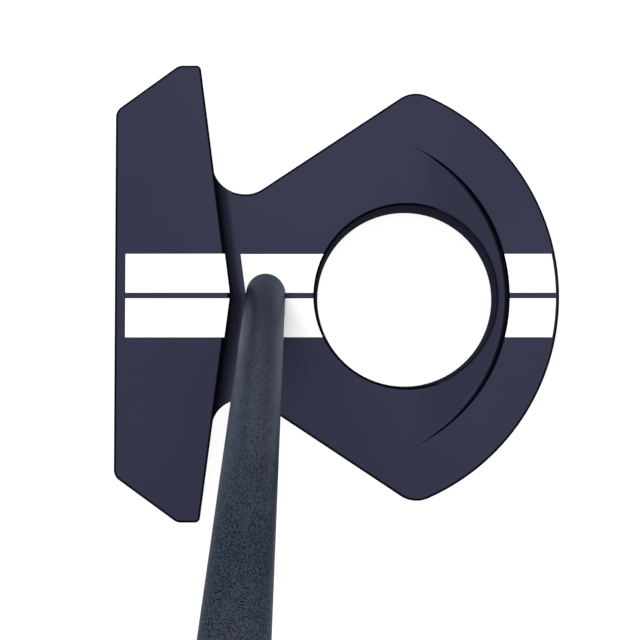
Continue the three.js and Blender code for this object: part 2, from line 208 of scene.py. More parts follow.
def round_corner(before, corner, after, radius):
    """The arc that rounds the corner between two straight edges."""
    to_before = (before - corner).normalized()
    to_after = (after - corner).normalized()
    half = math.acos(to_before.dot(to_after)) / 2
    centre = corner + (to_before + to_after).normalized() * (radius / math.sin(half))
    start = corner + to_before * (radius / math.tan(half))
    end = corner + to_after * (radius / math.tan(half))
    return arc_between(centre, start, end)


def rounded_loop(corners):
    """A closed outline from corners, each an (x, y, radius)."""
    at = [Vector(c[:2]) for c in corners]
    count = len(corners)
    arcs = [round_corner(at[i - 1], at[i], at[(i + 1) % count], corners[i][2]) for i in range(count)]
    return [point for arc in arcs for point in arc]


def without_doubles(outline):
    """The outline without points that repeat the one before."""
    return [p for i, p in enumerate(outline) if (p - outline[i - 1]).length > 1e-4]


def inset(outline, distance):
    """The outline moved inwards by a distance, or outwards by a negative one."""
    pairs = zip(outline, outline[1:] + outline[:1])
    side = 1 if sum(a.cross(b) for a, b in pairs) > 0 else -1
    moved = []
    for i, here in enumerate(outline):
        before = (here - outline[i - 1]).normalized()
        after = (outline[(i + 1) % len(outline)] - here).normalized()
        normals = [side * Vector((-d.y, d.x)) for d in (before, after)]
        middle = (normals[0] + normals[1]).normalized()
        moved.append(here + middle * (distance / max(0.5, middle.dot(normals[0]))))
    return moved


print("an arc of 50 mm radius has a point every", round(100 * math.acos(1 - CHORD_ERROR / 50), 2), "mm")


# %% [markdown]
# ## Small tools for solids
# A solid is a stack of rings joined by quads, with a face on each end. Two solids are joined or cut with the
# Boolean modifier and its manifold solver, which is how a machinist thinks too: stock, then cuts.
# The work is done in millimetres and the mesh is scaled to metres at the end, so the object stays unscaled.
# Weighted normals keep big flat faces flat in the light while the small roundings next to them stay soft.

# %% Rings, cuts and finishing
SHARP_ANGLE = math.radians(32)


def solid_object(name, vertices, faces):
    """A mesh object whose faces all point outwards."""
    mesh = bpy.data.meshes.new(name)
    mesh.from_pydata([tuple(v) for v in vertices], [], faces)
    work = bmesh.new()
    work.from_mesh(mesh)
    bmesh.ops.remove_doubles(work, verts=work.verts, dist=1e-5)
    bmesh.ops.recalc_face_normals(work, faces=work.faces)
    work.to_mesh(mesh)
    work.free()
    made = bpy.data.objects.new(name, mesh)
    bpy.context.scene.collection.objects.link(made)
    return made


def lofted(name, rings, closed=False):
    """A solid through rings of equal length, capped at both ends, or closed on itself like a tube."""
    count = len(rings[0])
    vertices = [point for ring in rings for point in ring]
    last = len(rings) if closed else len(rings) - 1
    faces = []
    for r in range(last):
        low, high = r * count, (r + 1) % len(rings) * count
        for i in range(count):
            j = (i + 1) % count
            faces.append((low + i, low + j, high + j, high + i))
    if not closed:
        faces.append(list(range(count))[::-1])
        faces.append([last * count + i for i in range(count)])
    return solid_object(name, vertices, faces)


def turned(name, profile, steps=72, closed=False):
    """A solid of revolution about Z from (radius, height) corners."""
    angles = [math.tau * i / steps for i in range(steps)]
    rings = [[Vector((r * math.cos(a), r * math.sin(a), z)) for a in angles] for r, z in profile]
    return lofted(name, rings, closed)


def bake(made):
    """Puts an object's modifiers into its mesh."""
    graph = bpy.context.evaluated_depsgraph_get()
    shape = made.evaluated_get(graph)
    mesh = bpy.data.meshes.new_from_object(shape, preserve_all_data_layers=True, depsgraph=graph)
    made.modifiers.clear()
    made.data = mesh
    return made


def combine(body, other, operation):
    """Joins other to body or cuts it away, and removes other."""
    step = body.modifiers.new("combine", "BOOLEAN")
    step.operation = operation
    step.solver = "MANIFOLD"
    step.object = other
    bake(body)
    bpy.data.objects.remove(other)
    return body


def finish_mesh(made, material, place=Matrix.Identity(4)):
    """Moves a mesh made in millimetres to its place in metres, cleans it, and sets shading and finish."""
    made.data.transform(Matrix.Scale(MM, 4) @ place)
    work = bmesh.new()
    work.from_mesh(made.data)
    bmesh.ops.remove_doubles(work, verts=work.verts, dist=1e-7)
    bmesh.ops.dissolve_degenerate(work, edges=work.edges, dist=1e-7)
    work.to_mesh(made.data)
    work.free()
    made.data.shade_smooth()
    made.data.set_sharp_from_angle(angle=SHARP_ANGLE)
    weigh = made.modifiers.new("weigh", "WEIGHTED_NORMAL")
    weigh.keep_sharp = True
    bake(made)
    made.data.materials.clear()
    made.data.materials.append(material)
    return made


def install(made, slot, *nodes):
    """Lets a finished piece ride on the club and stand for its CAD nodes."""
    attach(made, BODY)
    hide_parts(*nodes)
    size = [round(d * 1000, 1) for d in made.dimensions]
    print(f"{made.name}: {len(made.data.polygons)} faces, {size} mm")
    return made


# %% [markdown]
# ## Small tools for finishes
# Each finish is a node tree that reads Object coordinates, which are metres on the piece itself, so a grain
# of 0.3 mm is a noise scale of some thousands. A few helpers do most of the work: a stretched noise, the
# separate axes of a coordinate, a ramp between two colours, a span between two values, and a bump.

# %% Noise, ramp and bump
def new_finish(name, metallic, roughness, specular=0.5, edge_tint=(1, 1, 1)):
    """A node material with its constant values on the shader's own sockets."""
    material = bpy.data.materials.new(name)
    material.use_nodes = True
    shader = material.node_tree.nodes["Principled BSDF"]
    shader.inputs["Metallic"].default_value = metallic
    shader.inputs["Roughness"].default_value = roughness
    shader.inputs["Specular IOR Level"].default_value = specular
    shader.inputs["Specular Tint"].default_value = (*edge_tint, 1)
    return material, material.node_tree, shader


def noise(tree, scale, stretch=(1, 1, 1), detail=2.0):
    """A noise on the piece's own coordinates; stretch multiplies the scale along each axis."""
    where = tree.nodes.new("ShaderNodeTexCoord")
    mapping = tree.nodes.new("ShaderNodeMapping")
    mapping.inputs["Scale"].default_value = stretch
    grain = tree.nodes.new("ShaderNodeTexNoise")
    grain.inputs["Scale"].default_value = scale
    grain.inputs["Detail"].default_value = detail
    tree.links.new(where.outputs["Object"], mapping.inputs["Vector"])
    tree.links.new(mapping.outputs["Vector"], grain.inputs["Vector"])
    return grain.outputs["Fac"]


def axes(tree, kind):
    """The X, Y and Z sockets of the piece's own coordinates ("Object") or of its normals ("Normal")."""
    where = tree.nodes.new("ShaderNodeTexCoord")
    parts = tree.nodes.new("ShaderNodeSeparateXYZ")
    tree.links.new(where.outputs[kind], parts.inputs["Vector"])
    return parts.outputs


def ramp(tree, factor, low, high, start=0.3, end=0.7):
    """A blend from one colour to another as factor goes from start to end."""
    blend = tree.nodes.new("ShaderNodeValToRGB")
    blend.color_ramp.elements[0].position = start
    blend.color_ramp.elements[1].position = end
    blend.color_ramp.elements[0].color = (*low, 1)
    blend.color_ramp.elements[1].color = (*high, 1)
    tree.links.new(factor, blend.inputs["Fac"])
    return blend.outputs["Color"]


def span(tree, factor, low, high, start=0.25, end=0.75):
    """Factor from start to end turned into a value from low to high."""
    change = tree.nodes.new("ShaderNodeMapRange")
    change.inputs["From Min"].default_value = start
    change.inputs["From Max"].default_value = end
    change.inputs["To Min"].default_value = low
    change.inputs["To Max"].default_value = high
    tree.links.new(factor, change.inputs["Value"])
    return change.outputs["Result"]


def surface(tree, shader, factor, tones, roughness=None):
    """A colour between two tones, and a roughness between two values, both by one factor."""
    tree.links.new(ramp(tree, factor, *tones), shader.inputs["Base Color"])
    if roughness:
        tree.links.new(span(tree, factor, *roughness), shader.inputs["Roughness"])


def combined(tree, operation, first, second):
    """Two sockets, or a socket and a number, put through a Math node."""
    step = tree.nodes.new("ShaderNodeMath")
    step.operation = operation
    for socket, value in zip(step.inputs, (first, second)):
        if isinstance(value, (int, float)):
            socket.default_value = value
        else:
            tree.links.new(value, socket)
    return step.outputs["Value"]


def relief(tree, shader, height, depth, strength=1.0):
    """A bump of that depth in metres where height goes from 0 to 1."""
    bump = tree.nodes.new("ShaderNodeBump")
    bump.inputs["Distance"].default_value = depth
    bump.inputs["Strength"].default_value = strength
    tree.links.new(height, bump.inputs["Height"])
    tree.links.new(bump.outputs["Normal"], shader.inputs["Normal"])


# %% [markdown]
# ## The head's outlines
# Seen from above the head is a bar with the face on its front, a neck and two wings behind it, and a ring
# that holds a hole the size of a ball. The bar's back edge is a shallow V. The wings leave it through a
# tight round waist, run out at an angle, and meet the ring's big rear arc in a rounded apex.
# Heights come from the frame: the top of the bar is the top of the head, and the deck is just above the
# neck's paint.

# %% Plan dimensions, in millimetres
PAINT_BELOW_DECK = 0.05
BAR_TOP = head_high.z / MM
DECK_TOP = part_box("paint_neck_toe")[1].z / MM + PAINT_BELOW_DECK
LOFT = math.radians(2)
BACK_DRAFT = math.radians(8)
FACE_X = -35.1
BAR_CENTRE_Y = 0.5
BAR_HALF_LENGTH = 53.7
BAR_FRONT_HALF = 43
BAR_END_X = -20.2
BAR_BACK_X = -8
BAR_BACK_SLOPE = 0.13
FRONT_RADIUS, END_RADIUS, BACK_RADIUS, VEE_RADIUS = 3, 2.8, 1.2, 3
WING_POINT = Vector((14.45, 35.8))
WING_ANGLE = math.radians(33.4)
WAIST_RADIUS = 7.2
APEX_RADIUS = 6.8
REAR_CENTRE = Vector((17.3, 0))
REAR_RADIUS = 52.5
wing_direction = Vector((math.cos(WING_ANGLE), math.sin(WING_ANGLE)))
print("bar", round(BAR_TOP, 2), "mm high, deck", round(DECK_TOP, 2), "mm high")


# %% Outlines of the bar and the deck
def back_edge(y):
    """Where the bar's back edge is along X, at y."""
    return BAR_BACK_X - BAR_BACK_SLOPE * abs(y)


def waist_corner():
    """The toe-side corner where the bar's back edge would meet the wing edge."""
    slope = math.tan(WING_ANGLE)
    wing_at_zero = WING_POINT.y - slope * WING_POINT.x
    y = (wing_at_zero + slope * BAR_BACK_X) / (1 + slope * BAR_BACK_SLOPE)
    return Vector((back_edge(y), y))


def apex_arc():
    """The toe-side apex, tangent to the wing edge and, from inside, to the rear arc."""
    inward = Vector((wing_direction.y, -wing_direction.x))
    offset = WING_POINT + inward * APEX_RADIUS - REAR_CENTRE
    along = offset.dot(wing_direction)
    reach = REAR_RADIUS - APEX_RADIUS
    run = -along + math.sqrt(along**2 - offset.length_squared + reach**2)
    centre = offset + wing_direction * run + REAR_CENTRE
    on_rear = REAR_CENTRE + (centre - REAR_CENTRE).normalized() * REAR_RADIUS
    return arc_between(centre, centre - inward * APEX_RADIUS, on_rear)


def deck_outline():
    """Neck, wings and ring, from a line inside the bar to the rear."""
    corner = waist_corner()
    further = Vector((back_edge(corner.y + 20), corner.y + 20))
    waist = round_corner(further, corner, corner + wing_direction, WAIST_RADIUS)
    apex = apex_arc()
    rear = arc_between(REAR_CENTRE, apex[-1], REAR_CENTRE + Vector((REAR_RADIUS, 0)))
    toe = [Vector((BAR_END_X, corner.y)), *waist, *apex, *rear]
    return without_doubles(toe + [Vector((p.x, -p.y)) for p in reversed(toe)])


def bar_outline():
    """The face bar's top, with slanted front corners and a shallow V at the back."""
    sides = []
    for side in (1, -1):
        end_y = BAR_CENTRE_Y + side * BAR_HALF_LENGTH
        front = (FACE_X, BAR_CENTRE_Y + side * BAR_FRONT_HALF, FRONT_RADIUS)
        end = (BAR_END_X, end_y, END_RADIUS)
        sides.append([front, end, (back_edge(end_y), end_y, BACK_RADIUS)])
    vee = (BAR_BACK_X, 0, VEE_RADIUS)
    return without_doubles(rounded_loop([*sides[0], vee, *reversed(sides[1])]))


print(len(bar_outline()), "points round the bar,", len(deck_outline()), "round the deck")


# %% [markdown]
# ## The head's walls
# The face leans back by its loft, and the bar's back wall leans in under its top edge. So each ring of the
# stack is shifted forward by its depth, by an amount that depends on how far back the point is.
# Every outside edge is rounded: a thin rounding on top, where the cutter only broke the edge, and a wider
# one round the sole, so that the head slides over grass. The rounding is made by insetting the rings.

# %% Stacks of rings
EDGE_ROUND = 0.7
SOLE_ROUND = 1.0
ROUND_STEPS = 5


def bar_lean(x, y):
    """How far the bar's wall moves forward for each millimetre of depth."""
    share = min(1, max(0, (x - FACE_X) / (back_edge(y) - FACE_X)))
    return math.tan(LOFT) * (1 - share) + math.tan(BACK_DRAFT) * share


def waist_lean(x, y):
    """The waist follows the bar's back wall where it touches it, and is upright at its narrowest."""
    corner = waist_corner()
    along_back = Vector((-BAR_BACK_SLOPE, 1)).normalized()
    half = math.acos(along_back.dot(wing_direction)) / 2
    narrow = corner + (along_back + wing_direction).normalized() * (WAIST_RADIUS / math.sin(half))
    share = (narrow.x - x) / (narrow.x - back_edge(y))
    return math.tan(BACK_DRAFT) * min(1, max(0, share))


def quarter(steps=ROUND_STEPS):
    """The sine and cosine at even steps of a quarter turn."""
    angles = [math.pi / 2 * i / steps for i in range(steps + 1)]
    return [(math.sin(a), math.cos(a)) for a in angles]


def rounded_stack(name, outline, top, lean, top_round=EDGE_ROUND):
    """A wall from the sole to top along an outline, with rounded edges."""
    levels = [(SOLE_ROUND * (1 - s), SOLE_ROUND * (1 - c)) for s, c in quarter()]
    levels += [(top_round * (1 - c), top - top_round * (1 - s)) for s, c in quarter()]
    leans = [lean(p.x, p.y) for p in outline]
    rings = []
    for distance, z in levels:
        ring = inset(outline, distance)
        rings.append([Vector((p.x - (BAR_TOP - z) * k, p.y, z)) for p, k in zip(ring, leans)])
    return lofted(name, rings)


def prism(name, outline, bottom, top):
    """A plain wall between two heights."""
    return lofted(name, [[Vector((p.x, p.y, z)) for p in outline] for z in (bottom, top)])


head = rounded_stack("head_body_milled", deck_outline(), DECK_TOP, waist_lean)
combine(head, rounded_stack("bar", bar_outline(), BAR_TOP, bar_lean), "UNION")
print("the head's stock has", len(head.data.polygons), "faces")


# %% [markdown]
# ## The anodised finish
# The head is milled aluminium, blasted to a satin and dyed a dark blue-grey as it is anodised. The cutter
# leaves faint parallel marks from face to rear, and the blasting a fine even grain. Colour could be a flat
# value, but real anodising drifts a little in tone, so a slow noise moves it between two close tones.
# Some of it is tuned for the look and says nothing about a real coating. The edge tint is low, so that the
# metal doesn't turn bright at a shallow angle. Rounded edges and hollow corners should mirror dark things
# that this room doesn't have. Painted shade stands in for them: one shade by slope, which also gives upright
# walls a lighter tone, and one at the heights of the top edges, outside which it does nothing. Slopes and
# walls also lose most of their metallic share.

# %% Satin anodising
ANODISED_TONES = ((0.0178, 0.0186, 0.0332), (0.0206, 0.0216, 0.0378))
# Painted shade: greys that the colour is multiplied by, by how upright the surface is and near the top
# edges.
SLOPE_SHADES = ((0.0, 1.25), (0.1, 0.25), (0.6, 0.25), (0.93, 1.0))
EDGE_SHADES = ((0.05, 1.0), (0.12, 0.2), (0.95, 0.2), (0.99, 1.0))
FLAT_METALLIC = 0.5
WALL_METALLIC = 0.02
FLAT_FROM, FLAT_TO = 0.8, 0.99
ANODISED_EDGE_TINT = (0.05, 0.055, 0.1)
MIX_FIRST, MIX_SECOND, MIX_RESULT = 6, 7, 2


def uprightness(tree):
    """How far the surface faces straight up or down: 1 on a flat top, 0 on a wall."""
    return combined(tree, "ABSOLUTE", axes(tree, "Normal")["Z"], 0)


def shaded(tree, colour, factor, stops):
    """A colour multiplied by a grey that depends on factor. A Mix node's colour sockets go by number."""
    shade = tree.nodes.new("ShaderNodeValToRGB")
    elements = shade.color_ramp.elements
    for _ in stops[2:]:
        elements.new(0.5)
    for element, (position, tone) in zip(elements, stops):
        element.position = position
        element.color = (tone, tone, tone, 1)
    tree.links.new(factor, shade.inputs["Fac"])
    mix = tree.nodes.new("ShaderNodeMix")
    mix.data_type = "RGBA"
    mix.blend_type = "MULTIPLY"
    mix.inputs["Factor"].default_value = 1
    tree.links.new(colour, mix.inputs[MIX_FIRST])
    tree.links.new(shade.outputs["Color"], mix.inputs[MIX_SECOND])
    return mix.outputs[MIX_RESULT]


def near_top_edges(tree):
    """1 at the heights where the bar's and the deck's top edges are rounded, else 0."""
    height = axes(tree, "Object")["Z"]
    zones = []
    for top in (BAR_TOP, DECK_TOP):
        zone = tree.nodes.new("ShaderNodeMath")
        zone.operation = "COMPARE"
        zone.inputs[1].default_value = (top - EDGE_ROUND / 2) * MM
        zone.inputs[2].default_value = (EDGE_ROUND / 2 + 0.01) * MM
        tree.links.new(height, zone.inputs[0])
        zones.append(zone.outputs["Value"])
    return combined(tree, "MAXIMUM", *zones)


def anodised_finish():
    """Blue-grey satin anodising over milled aluminium, with painted shade by slope and on the top edges."""
    material, tree, shader = new_finish("satin_anodising", FLAT_METALLIC, 0.42, 0.0, ANODISED_EDGE_TINT)
    drift = noise(tree, 28, detail=1)
    marks = noise(tree, 60, stretch=(1, 45, 1), detail=3)
    blast = noise(tree, 5200, detail=1)
    slow, fine = combined(tree, "MULTIPLY", drift, 0.6), combined(tree, "MULTIPLY", marks, 0.4)
    tone = combined(tree, "ADD", slow, fine)
    slope = uprightness(tree)
    # Painted shade by slope: darker rounded edges, fillets and hollows, and a lighter tone on upright walls.
    slope_shaded = shaded(tree, ramp(tree, tone, *ANODISED_TONES), slope, SLOPE_SHADES)
    # Painted shade on the rounded top edges of the bar and the deck.
    outside = combined(tree, "SUBTRACT", 1, near_top_edges(tree))
    edged = shaded(tree, slope_shaded, combined(tree, "MAXIMUM", slope, outside), EDGE_SHADES)
    tree.links.new(edged, shader.inputs["Base Color"])
    metallic = span(tree, slope, WALL_METALLIC, FLAT_METALLIC, FLAT_FROM, FLAT_TO)
    tree.links.new(metallic, shader.inputs["Metallic"])
    tree.links.new(span(tree, marks, 0.39, 0.45), shader.inputs["Roughness"])
    grain = combined(tree, "ADD", combined(tree, "MULTIPLY", marks, 0.5), blast)
    relief(tree, shader, grain, 0.000006, 0.5)
    return material


anodised = anodised_finish()
print("the finish", anodised.name, "has", len(anodised.node_tree.nodes), "nodes")


# %% [markdown]
# ## The fillet behind the bar
# A ball-nosed cutter leaves a hollow round fillet where the bar's back wall meets the neck. It is a strip
# with a concave section, laid along each half of the V, and trimmed to the neck's own outline.

# %% Fillets on both sides of the V
FILLET_RADIUS = 3.9


def fillet_strip(side):
    """The concave fillet along one half of the bar's back wall."""
    size, length, past = FILLET_RADIUS, 30, 1
    hollow = arc_between(Vector((size, size)), Vector((0, size)), Vector((size, 0)), least=14)
    section = hollow + [Vector((size, -1)), Vector((-size, -1)), Vector((-size, size))]
    ends = (-past, length) if side > 0 else (past, -length)
    strip = lofted("fillet", [[Vector((p.x, y, p.y)) for p in section] for y in ends])
    foot_x = BAR_BACK_X - (BAR_TOP - DECK_TOP) * math.tan(BACK_DRAFT)
    turn = Matrix.Rotation(side * math.atan(BAR_BACK_SLOPE), 4, "Z")
    strip.data.transform(Matrix.Translation((foot_x, 0, DECK_TOP)) @ turn)
    trim = deck_outline()
    leans = [waist_lean(p.x, p.y) for p in trim]
    levels = (DECK_TOP - 3, BAR_TOP)
    walls = [[Vector((p.x - (BAR_TOP - z) * k, p.y, z)) for p, k in zip(trim, leans)] for z in levels]
    return combine(strip, lofted("trim", walls), "INTERSECT")


for side in (1, -1):
    combine(head, fillet_strip(side), "UNION")
print("with its fillets it has", len(head.data.polygons), "faces")


# %% [markdown]
# ## The hole and the crescent
# The ring's hole is a little wider than a ball, so that it can scoop one up. Behind it the floor falls away
# in a crescent, which leaves the rear rim standing proud. Both cuts get their edge roundings from the shape
# of the cutter itself: it flares out where it meets the surface. The floor starts to fall gently, so that
# there is no crease where it leaves the deck.

# %% The crescent's sloping floor
HOLE = Vector((33.6, 0))
HOLE_RADIUS = 21.75
CRESCENT = Vector((17.7, 0))
CRESCENT_RADIUS = 39.85
POCKET_START = 34.3
POCKET_EASE = 6.0
POCKET_SLOPES = (0.035, 0.1405)
FOOT_ROUND = 0.95
FOOT_SHARE, LIP_SHARE = 0.6, 0.3
FOOT_STEPS, FLOOR_STEPS = 8, 12
FLARE_TURN = 0.84
CUTTER_CORE = 18
ABOVE = 8.0


def pocket_floor(x):
    """The height of the crescent's floor at x; ahead of its start it lies above the deck."""
    run = x - POCKET_START
    gentle, full = POCKET_SLOPES
    eased = min(max(run, 0), POCKET_EASE)
    drop = gentle * run + (full - gentle) * eased**2 / (2 * POCKET_EASE)
    return DECK_TOP - drop - (full - gentle) * max(0, run - POCKET_EASE)


def crescent_section(angle):
    """The cutter's profile at one angle round the crescent: flare, wall, rounded foot, floor."""
    across = Vector((math.cos(angle), math.sin(angle)))
    depth = max(0, DECK_TOP - pocket_floor(CRESCENT.x + CRESCENT_RADIUS * across.x))
    foot = min(FOOT_ROUND, FOOT_SHARE * depth)
    lip = min(EDGE_ROUND, LIP_SHARE * depth)

    def at(radius, z=None, lift=0.0):
        place = CRESCENT + across * radius
        return Vector((place.x, place.y, pocket_floor(place.x) + lift if z is None else z))

    turns = [math.pi / 2 * FLARE_TURN * i / ROUND_STEPS for i in range(ROUND_STEPS, -1, -1)]
    flare = [(CRESCENT_RADIUS + lip * (1 - math.cos(t)), DECK_TOP - lip * (1 - math.sin(t))) for t in turns]
    points = [at(flare[0][0] + 0.02, DECK_TOP + ABOVE)]
    points += [at(radius, z) for radius, z in flare]
    points += [at(CRESCENT_RADIUS - foot * (1 - c), lift=foot * (1 - s)) for s, c in quarter(FOOT_STEPS)]
    inner = CRESCENT_RADIUS - foot
    shares = [(i / FLOOR_STEPS) ** 1.5 for i in range(1, FLOOR_STEPS + 1)]
    points += [at(inner + (CUTTER_CORE - inner) * share) for share in shares]
    return [*points, at(CUTTER_CORE, DECK_TOP + ABOVE)]


def crescent_cutter(steps=150):
    """Everything above the sloping floor inside the crescent."""
    reach = math.acos((POCKET_START - 0.5 - CRESCENT.x) / CRESCENT_RADIUS)
    return lofted("crescent", [crescent_section(reach * (2 * i / steps - 1)) for i in range(steps + 1)])


combine(head, crescent_cutter(), "DIFFERENCE")
depth_at_rear = DECK_TOP - pocket_floor(CRESCENT.x + CRESCENT_RADIUS)
print("the crescent is", round(depth_at_rear, 2), "mm deep at the rear")


# %% The ball-size hole
def surface_height(x, y):
    """The top surface's height beside the hole."""
    inside = (Vector((x, y)) - CRESCENT).length < CRESCENT_RADIUS
    return min(DECK_TOP, pocket_floor(x)) if inside and x > POCKET_START else DECK_TOP


def hole_cutter(steps=192):
    """A cylinder that flares at the sole and at the surface above, whatever its height there."""
    turns = [math.pi / 2 * FLARE_TURN * i / ROUND_STEPS for i in range(ROUND_STEPS + 1)]
    low = [(SOLE_ROUND * (1 - math.cos(t)), SOLE_ROUND * (1 - math.sin(t))) for t in reversed(turns)]
    high = [(EDGE_ROUND * (1 - math.cos(t)), -EDGE_ROUND * (1 - math.sin(t))) for t in turns]
    levels = [(low[0][0] + 0.1, -1, False), *[(w, z, False) for w, z in low]]
    levels += [(w, z, True) for w, z in high] + [(high[-1][0] + 0.1, ABOVE, True)]
    rings = []
    for widen, z, from_surface in levels:
        ring = []
        for i in range(steps):
            across = Vector((math.cos(math.tau * i / steps), math.sin(math.tau * i / steps)))
            place = HOLE + across * (HOLE_RADIUS + widen)
            base = surface_height(place.x, place.y) if from_surface else 0
            ring.append(Vector((place.x, place.y, base + z)))
        rings.append(ring)
    return lofted("hole", rings)


combine(head, hole_cutter(), "DIFFERENCE")
print("a ball is 42.7 mm across and the hole", 2 * HOLE_RADIUS, "mm")


# %% [markdown]
# ## The shaft's axis
# The shaft leans towards the heel at the lie angle and a touch towards the rear, and its axis meets the deck
# on the line between the two white stripes. Everything on the shaft is built upright along Z and then placed
# with one matrix. A station is a distance along the axis from the sole.

# %% Place the shaft's axis
LIE = math.radians(71)
SETBACK = math.radians(2.2)
SHAFT_ENTRY = Vector((0, 0.4, DECK_TOP))
TIP_RADIUS = 4.7
BOND_THICKNESS = 0.12
TIP_STATION = 5.4
BUTT_STATION = 858
TAPER_STATION = 210
BUTT_RADIUS = 7.6
SHAFT_WALL = 0.75
BORE_CLEARANCE = 0.03
BORE_FLOOR_GAP = 0.3
BORE_CUT_END = 60

shaft_axis = Vector((math.sin(SETBACK), -math.cos(LIE), math.sin(LIE))).normalized()
shaft_foot = SHAFT_ENTRY - shaft_axis * (DECK_TOP / shaft_axis.z)
shaft_turn = Vector((0, 0, 1)).rotation_difference(shaft_axis).to_matrix().to_4x4()
shaft_place = Matrix.Translation(shaft_foot) @ shaft_turn


def on_axis(made):
    """Moves something built along Z onto the shaft's axis."""
    made.data.transform(shaft_place)
    return made


def round_post(name, radius, bottom, top, steps=72):
    """A plain cylinder along Z."""
    return turned(name, [(radius, bottom), (radius, top)], steps)


bore_radius = TIP_RADIUS + BOND_THICKNESS + BORE_CLEARANCE
bore = round_post("bore", bore_radius, TIP_STATION - BORE_FLOOR_GAP, BORE_CUT_END)
combine(head, on_axis(bore), "DIFFERENCE")
print("the shaft leans", round(math.degrees(math.acos(shaft_axis.z)), 1), "degrees from upright")


# %% [markdown]
# ## The white stripes
# Six shallow recesses are milled into the bar, the neck and the rear rim, and filled with white enamel, so
# that the player sees two white bands with a dark line between them, half a ball wide. The paint could be
# a colour painted on the metal by a mask. On the real head it is a film of its own in a recess, with a crisp
# edge, so here it is one too. Each pair is given by the middle of its dark line, the width of a band, two
# curves that it runs between, as x over y, and its height. The middles and widths differ by up to 0.3 mm,
# tuned so that the bands line up in the camera's view.

# %% Cut the recesses and fill them
STRIPE_GAP = 1.34
STRIPE_FRONT_X = -32.55
NECK_SETBACK = 3.3
PAINT_DEPTH = 0.3
PAINT_GAP = 0.02
RIM_MARGIN = 0.9
EDGE_MARGIN = 0.5
PAST_BACK_EDGE = 0.02
RECESS_RISE = 5
STRIPE_ROWS = 24


def circle_x(centre, radius, sign):
    """The x of a circle over y."""
    return lambda y: centre.x + sign * math.sqrt(radius * radius - y * y)


STRIPES = {
    "face": (-0.16, 9.12, lambda y: STRIPE_FRONT_X, lambda y: back_edge(y) + PAST_BACK_EDGE, BAR_TOP),
    "neck": (
        0.13,
        9.25,
        lambda y: back_edge(y) + NECK_SETBACK,
        circle_x(HOLE, HOLE_RADIUS + EDGE_MARGIN, -1),
        DECK_TOP,
    ),
    "rim": (
        0.13,
        9.22,
        circle_x(CRESCENT, CRESCENT_RADIUS + EDGE_MARGIN, 1),
        circle_x(REAR_CENTRE, REAR_RADIUS - RIM_MARGIN, 1),
        DECK_TOP,
    ),
}


def stripe_outline(side, middle, width, start, end, grown):
    """The plan outline of one stripe of a pair whose dark line is at middle."""
    low, high = STRIPE_GAP / 2 - grown, STRIPE_GAP / 2 + width + grown
    rows = [middle + side * (low + (high - low) * i / STRIPE_ROWS) for i in range(STRIPE_ROWS + 1)]
    near = [Vector((start(y) - grown, y)) for y in rows]
    return near + [Vector((end(y) + grown, y)) for y in reversed(rows)]


def enamel_finish():
    """White enamel: nearly even, with a faint orange peel."""
    material, tree, shader = new_finish("white_enamel", 0.0, 0.3, specular=0.3)
    flow = noise(tree, 300, detail=2)
    surface(tree, shader, flow, ((0.86, 0.87, 0.87), (0.9, 0.905, 0.9)), (0.26, 0.34))
    relief(tree, shader, noise(tree, 900, detail=1), 0.00001, 0.3)
    return material


enamel = enamel_finish()
for place, (middle, width, start, end, top) in STRIPES.items():
    for side, hand in ((1, "toe"), (-1, "heel")):
        milled = stripe_outline(side, middle, width, start, end, PAINT_GAP)
        combine(head, prism("recess", milled, top - PAINT_DEPTH, top + RECESS_RISE), "DIFFERENCE")
        filled = stripe_outline(side, middle, width, start, end, 0)
        film = prism(f"paint_{place}_{hand}_film", filled, top - PAINT_DEPTH, top - PAINT_GAP)
        if place == "neck":
            clear = round_post("clear", TIP_RADIUS + BORE_CLEARANCE, TIP_STATION, BORE_CUT_END)
            combine(film, on_axis(clear), "DIFFERENCE")
        install(finish_mesh(film, enamel), "white_paint", f"paint_{place}_{hand}")


# %% [markdown]
# ## The face insert
# The ball is struck by a steel plate let into the face and glued there. It is fly-cut: a row of shallow V
# grooves crosses it, which softens the click. Grooves could be a bump in the material, but they are what a
# side view of the face shows, so they are cut. Geometry Nodes do it: one bar on its corner is placed on
# every point of a line, and a Mesh Boolean takes them all out of the plate.

# %% A small kit for node groups
def new_tree(name, inputs):
    """An empty Geometry Nodes tree with a geometry input and output and named number inputs."""
    tree = bpy.data.node_groups.new(name, "GeometryNodeTree")
    tree.interface.new_socket(name="Geometry", in_out="INPUT", socket_type="NodeSocketGeometry")
    tree.interface.new_socket(name="Geometry", in_out="OUTPUT", socket_type="NodeSocketGeometry")
    kinds = {float: "NodeSocketFloat", int: "NodeSocketInt"}
    for key, value in inputs.items():
        socket = tree.interface.new_socket(name=key, in_out="INPUT", socket_type=kinds[type(value)])
        socket.default_value = value
    return tree, tree.nodes.new("NodeGroupInput"), tree.nodes.new("NodeGroupOutput")


def node(tree, kind, settings=None, **wires):
    """A node with its settings, and its inputs wired by name to sockets or set to values."""
    made = tree.nodes.new(kind)
    for key, value in (settings or {}).items():
        setattr(made, key, value)
    for key, value in wires.items():
        by_number = key[0] == "i" and key[1:].isdigit()
        socket = made.inputs[int(key[1:]) if by_number else key.replace("_", " ")]
        if isinstance(value, bpy.types.NodeSocket):
            tree.links.new(value, socket)
        else:
            socket.default_value = value
    return made


def calc(tree, operation, *values):
    """A Math node on sockets or numbers."""
    wires = {f"i{i}": value for i, value in enumerate(values)}
    return node(tree, "ShaderNodeMath", {"operation": operation}, **wires).outputs[0]


def finish_tree(tree, geometry, output, material):
    """Ends a tree with Realize Instances and Set Material."""
    real = node(tree, "GeometryNodeRealizeInstances", i0=geometry)
    coloured = node(tree, "GeometryNodeSetMaterial", i0=real.outputs[0], Material=material)
    tree.links.new(coloured.outputs[0], output.inputs[0])


def run_tree(made, tree, values):
    """Runs a tree on an object with these input values, and bakes the result into its mesh."""
    step = made.modifiers.new(tree.name, "NODES")
    step.node_group = tree
    for item in tree.interface.items_tree:
        if item.item_type == "SOCKET" and item.in_out == "INPUT" and item.name in values:
            step[item.identifier] = values[item.name]
    return bake(made)


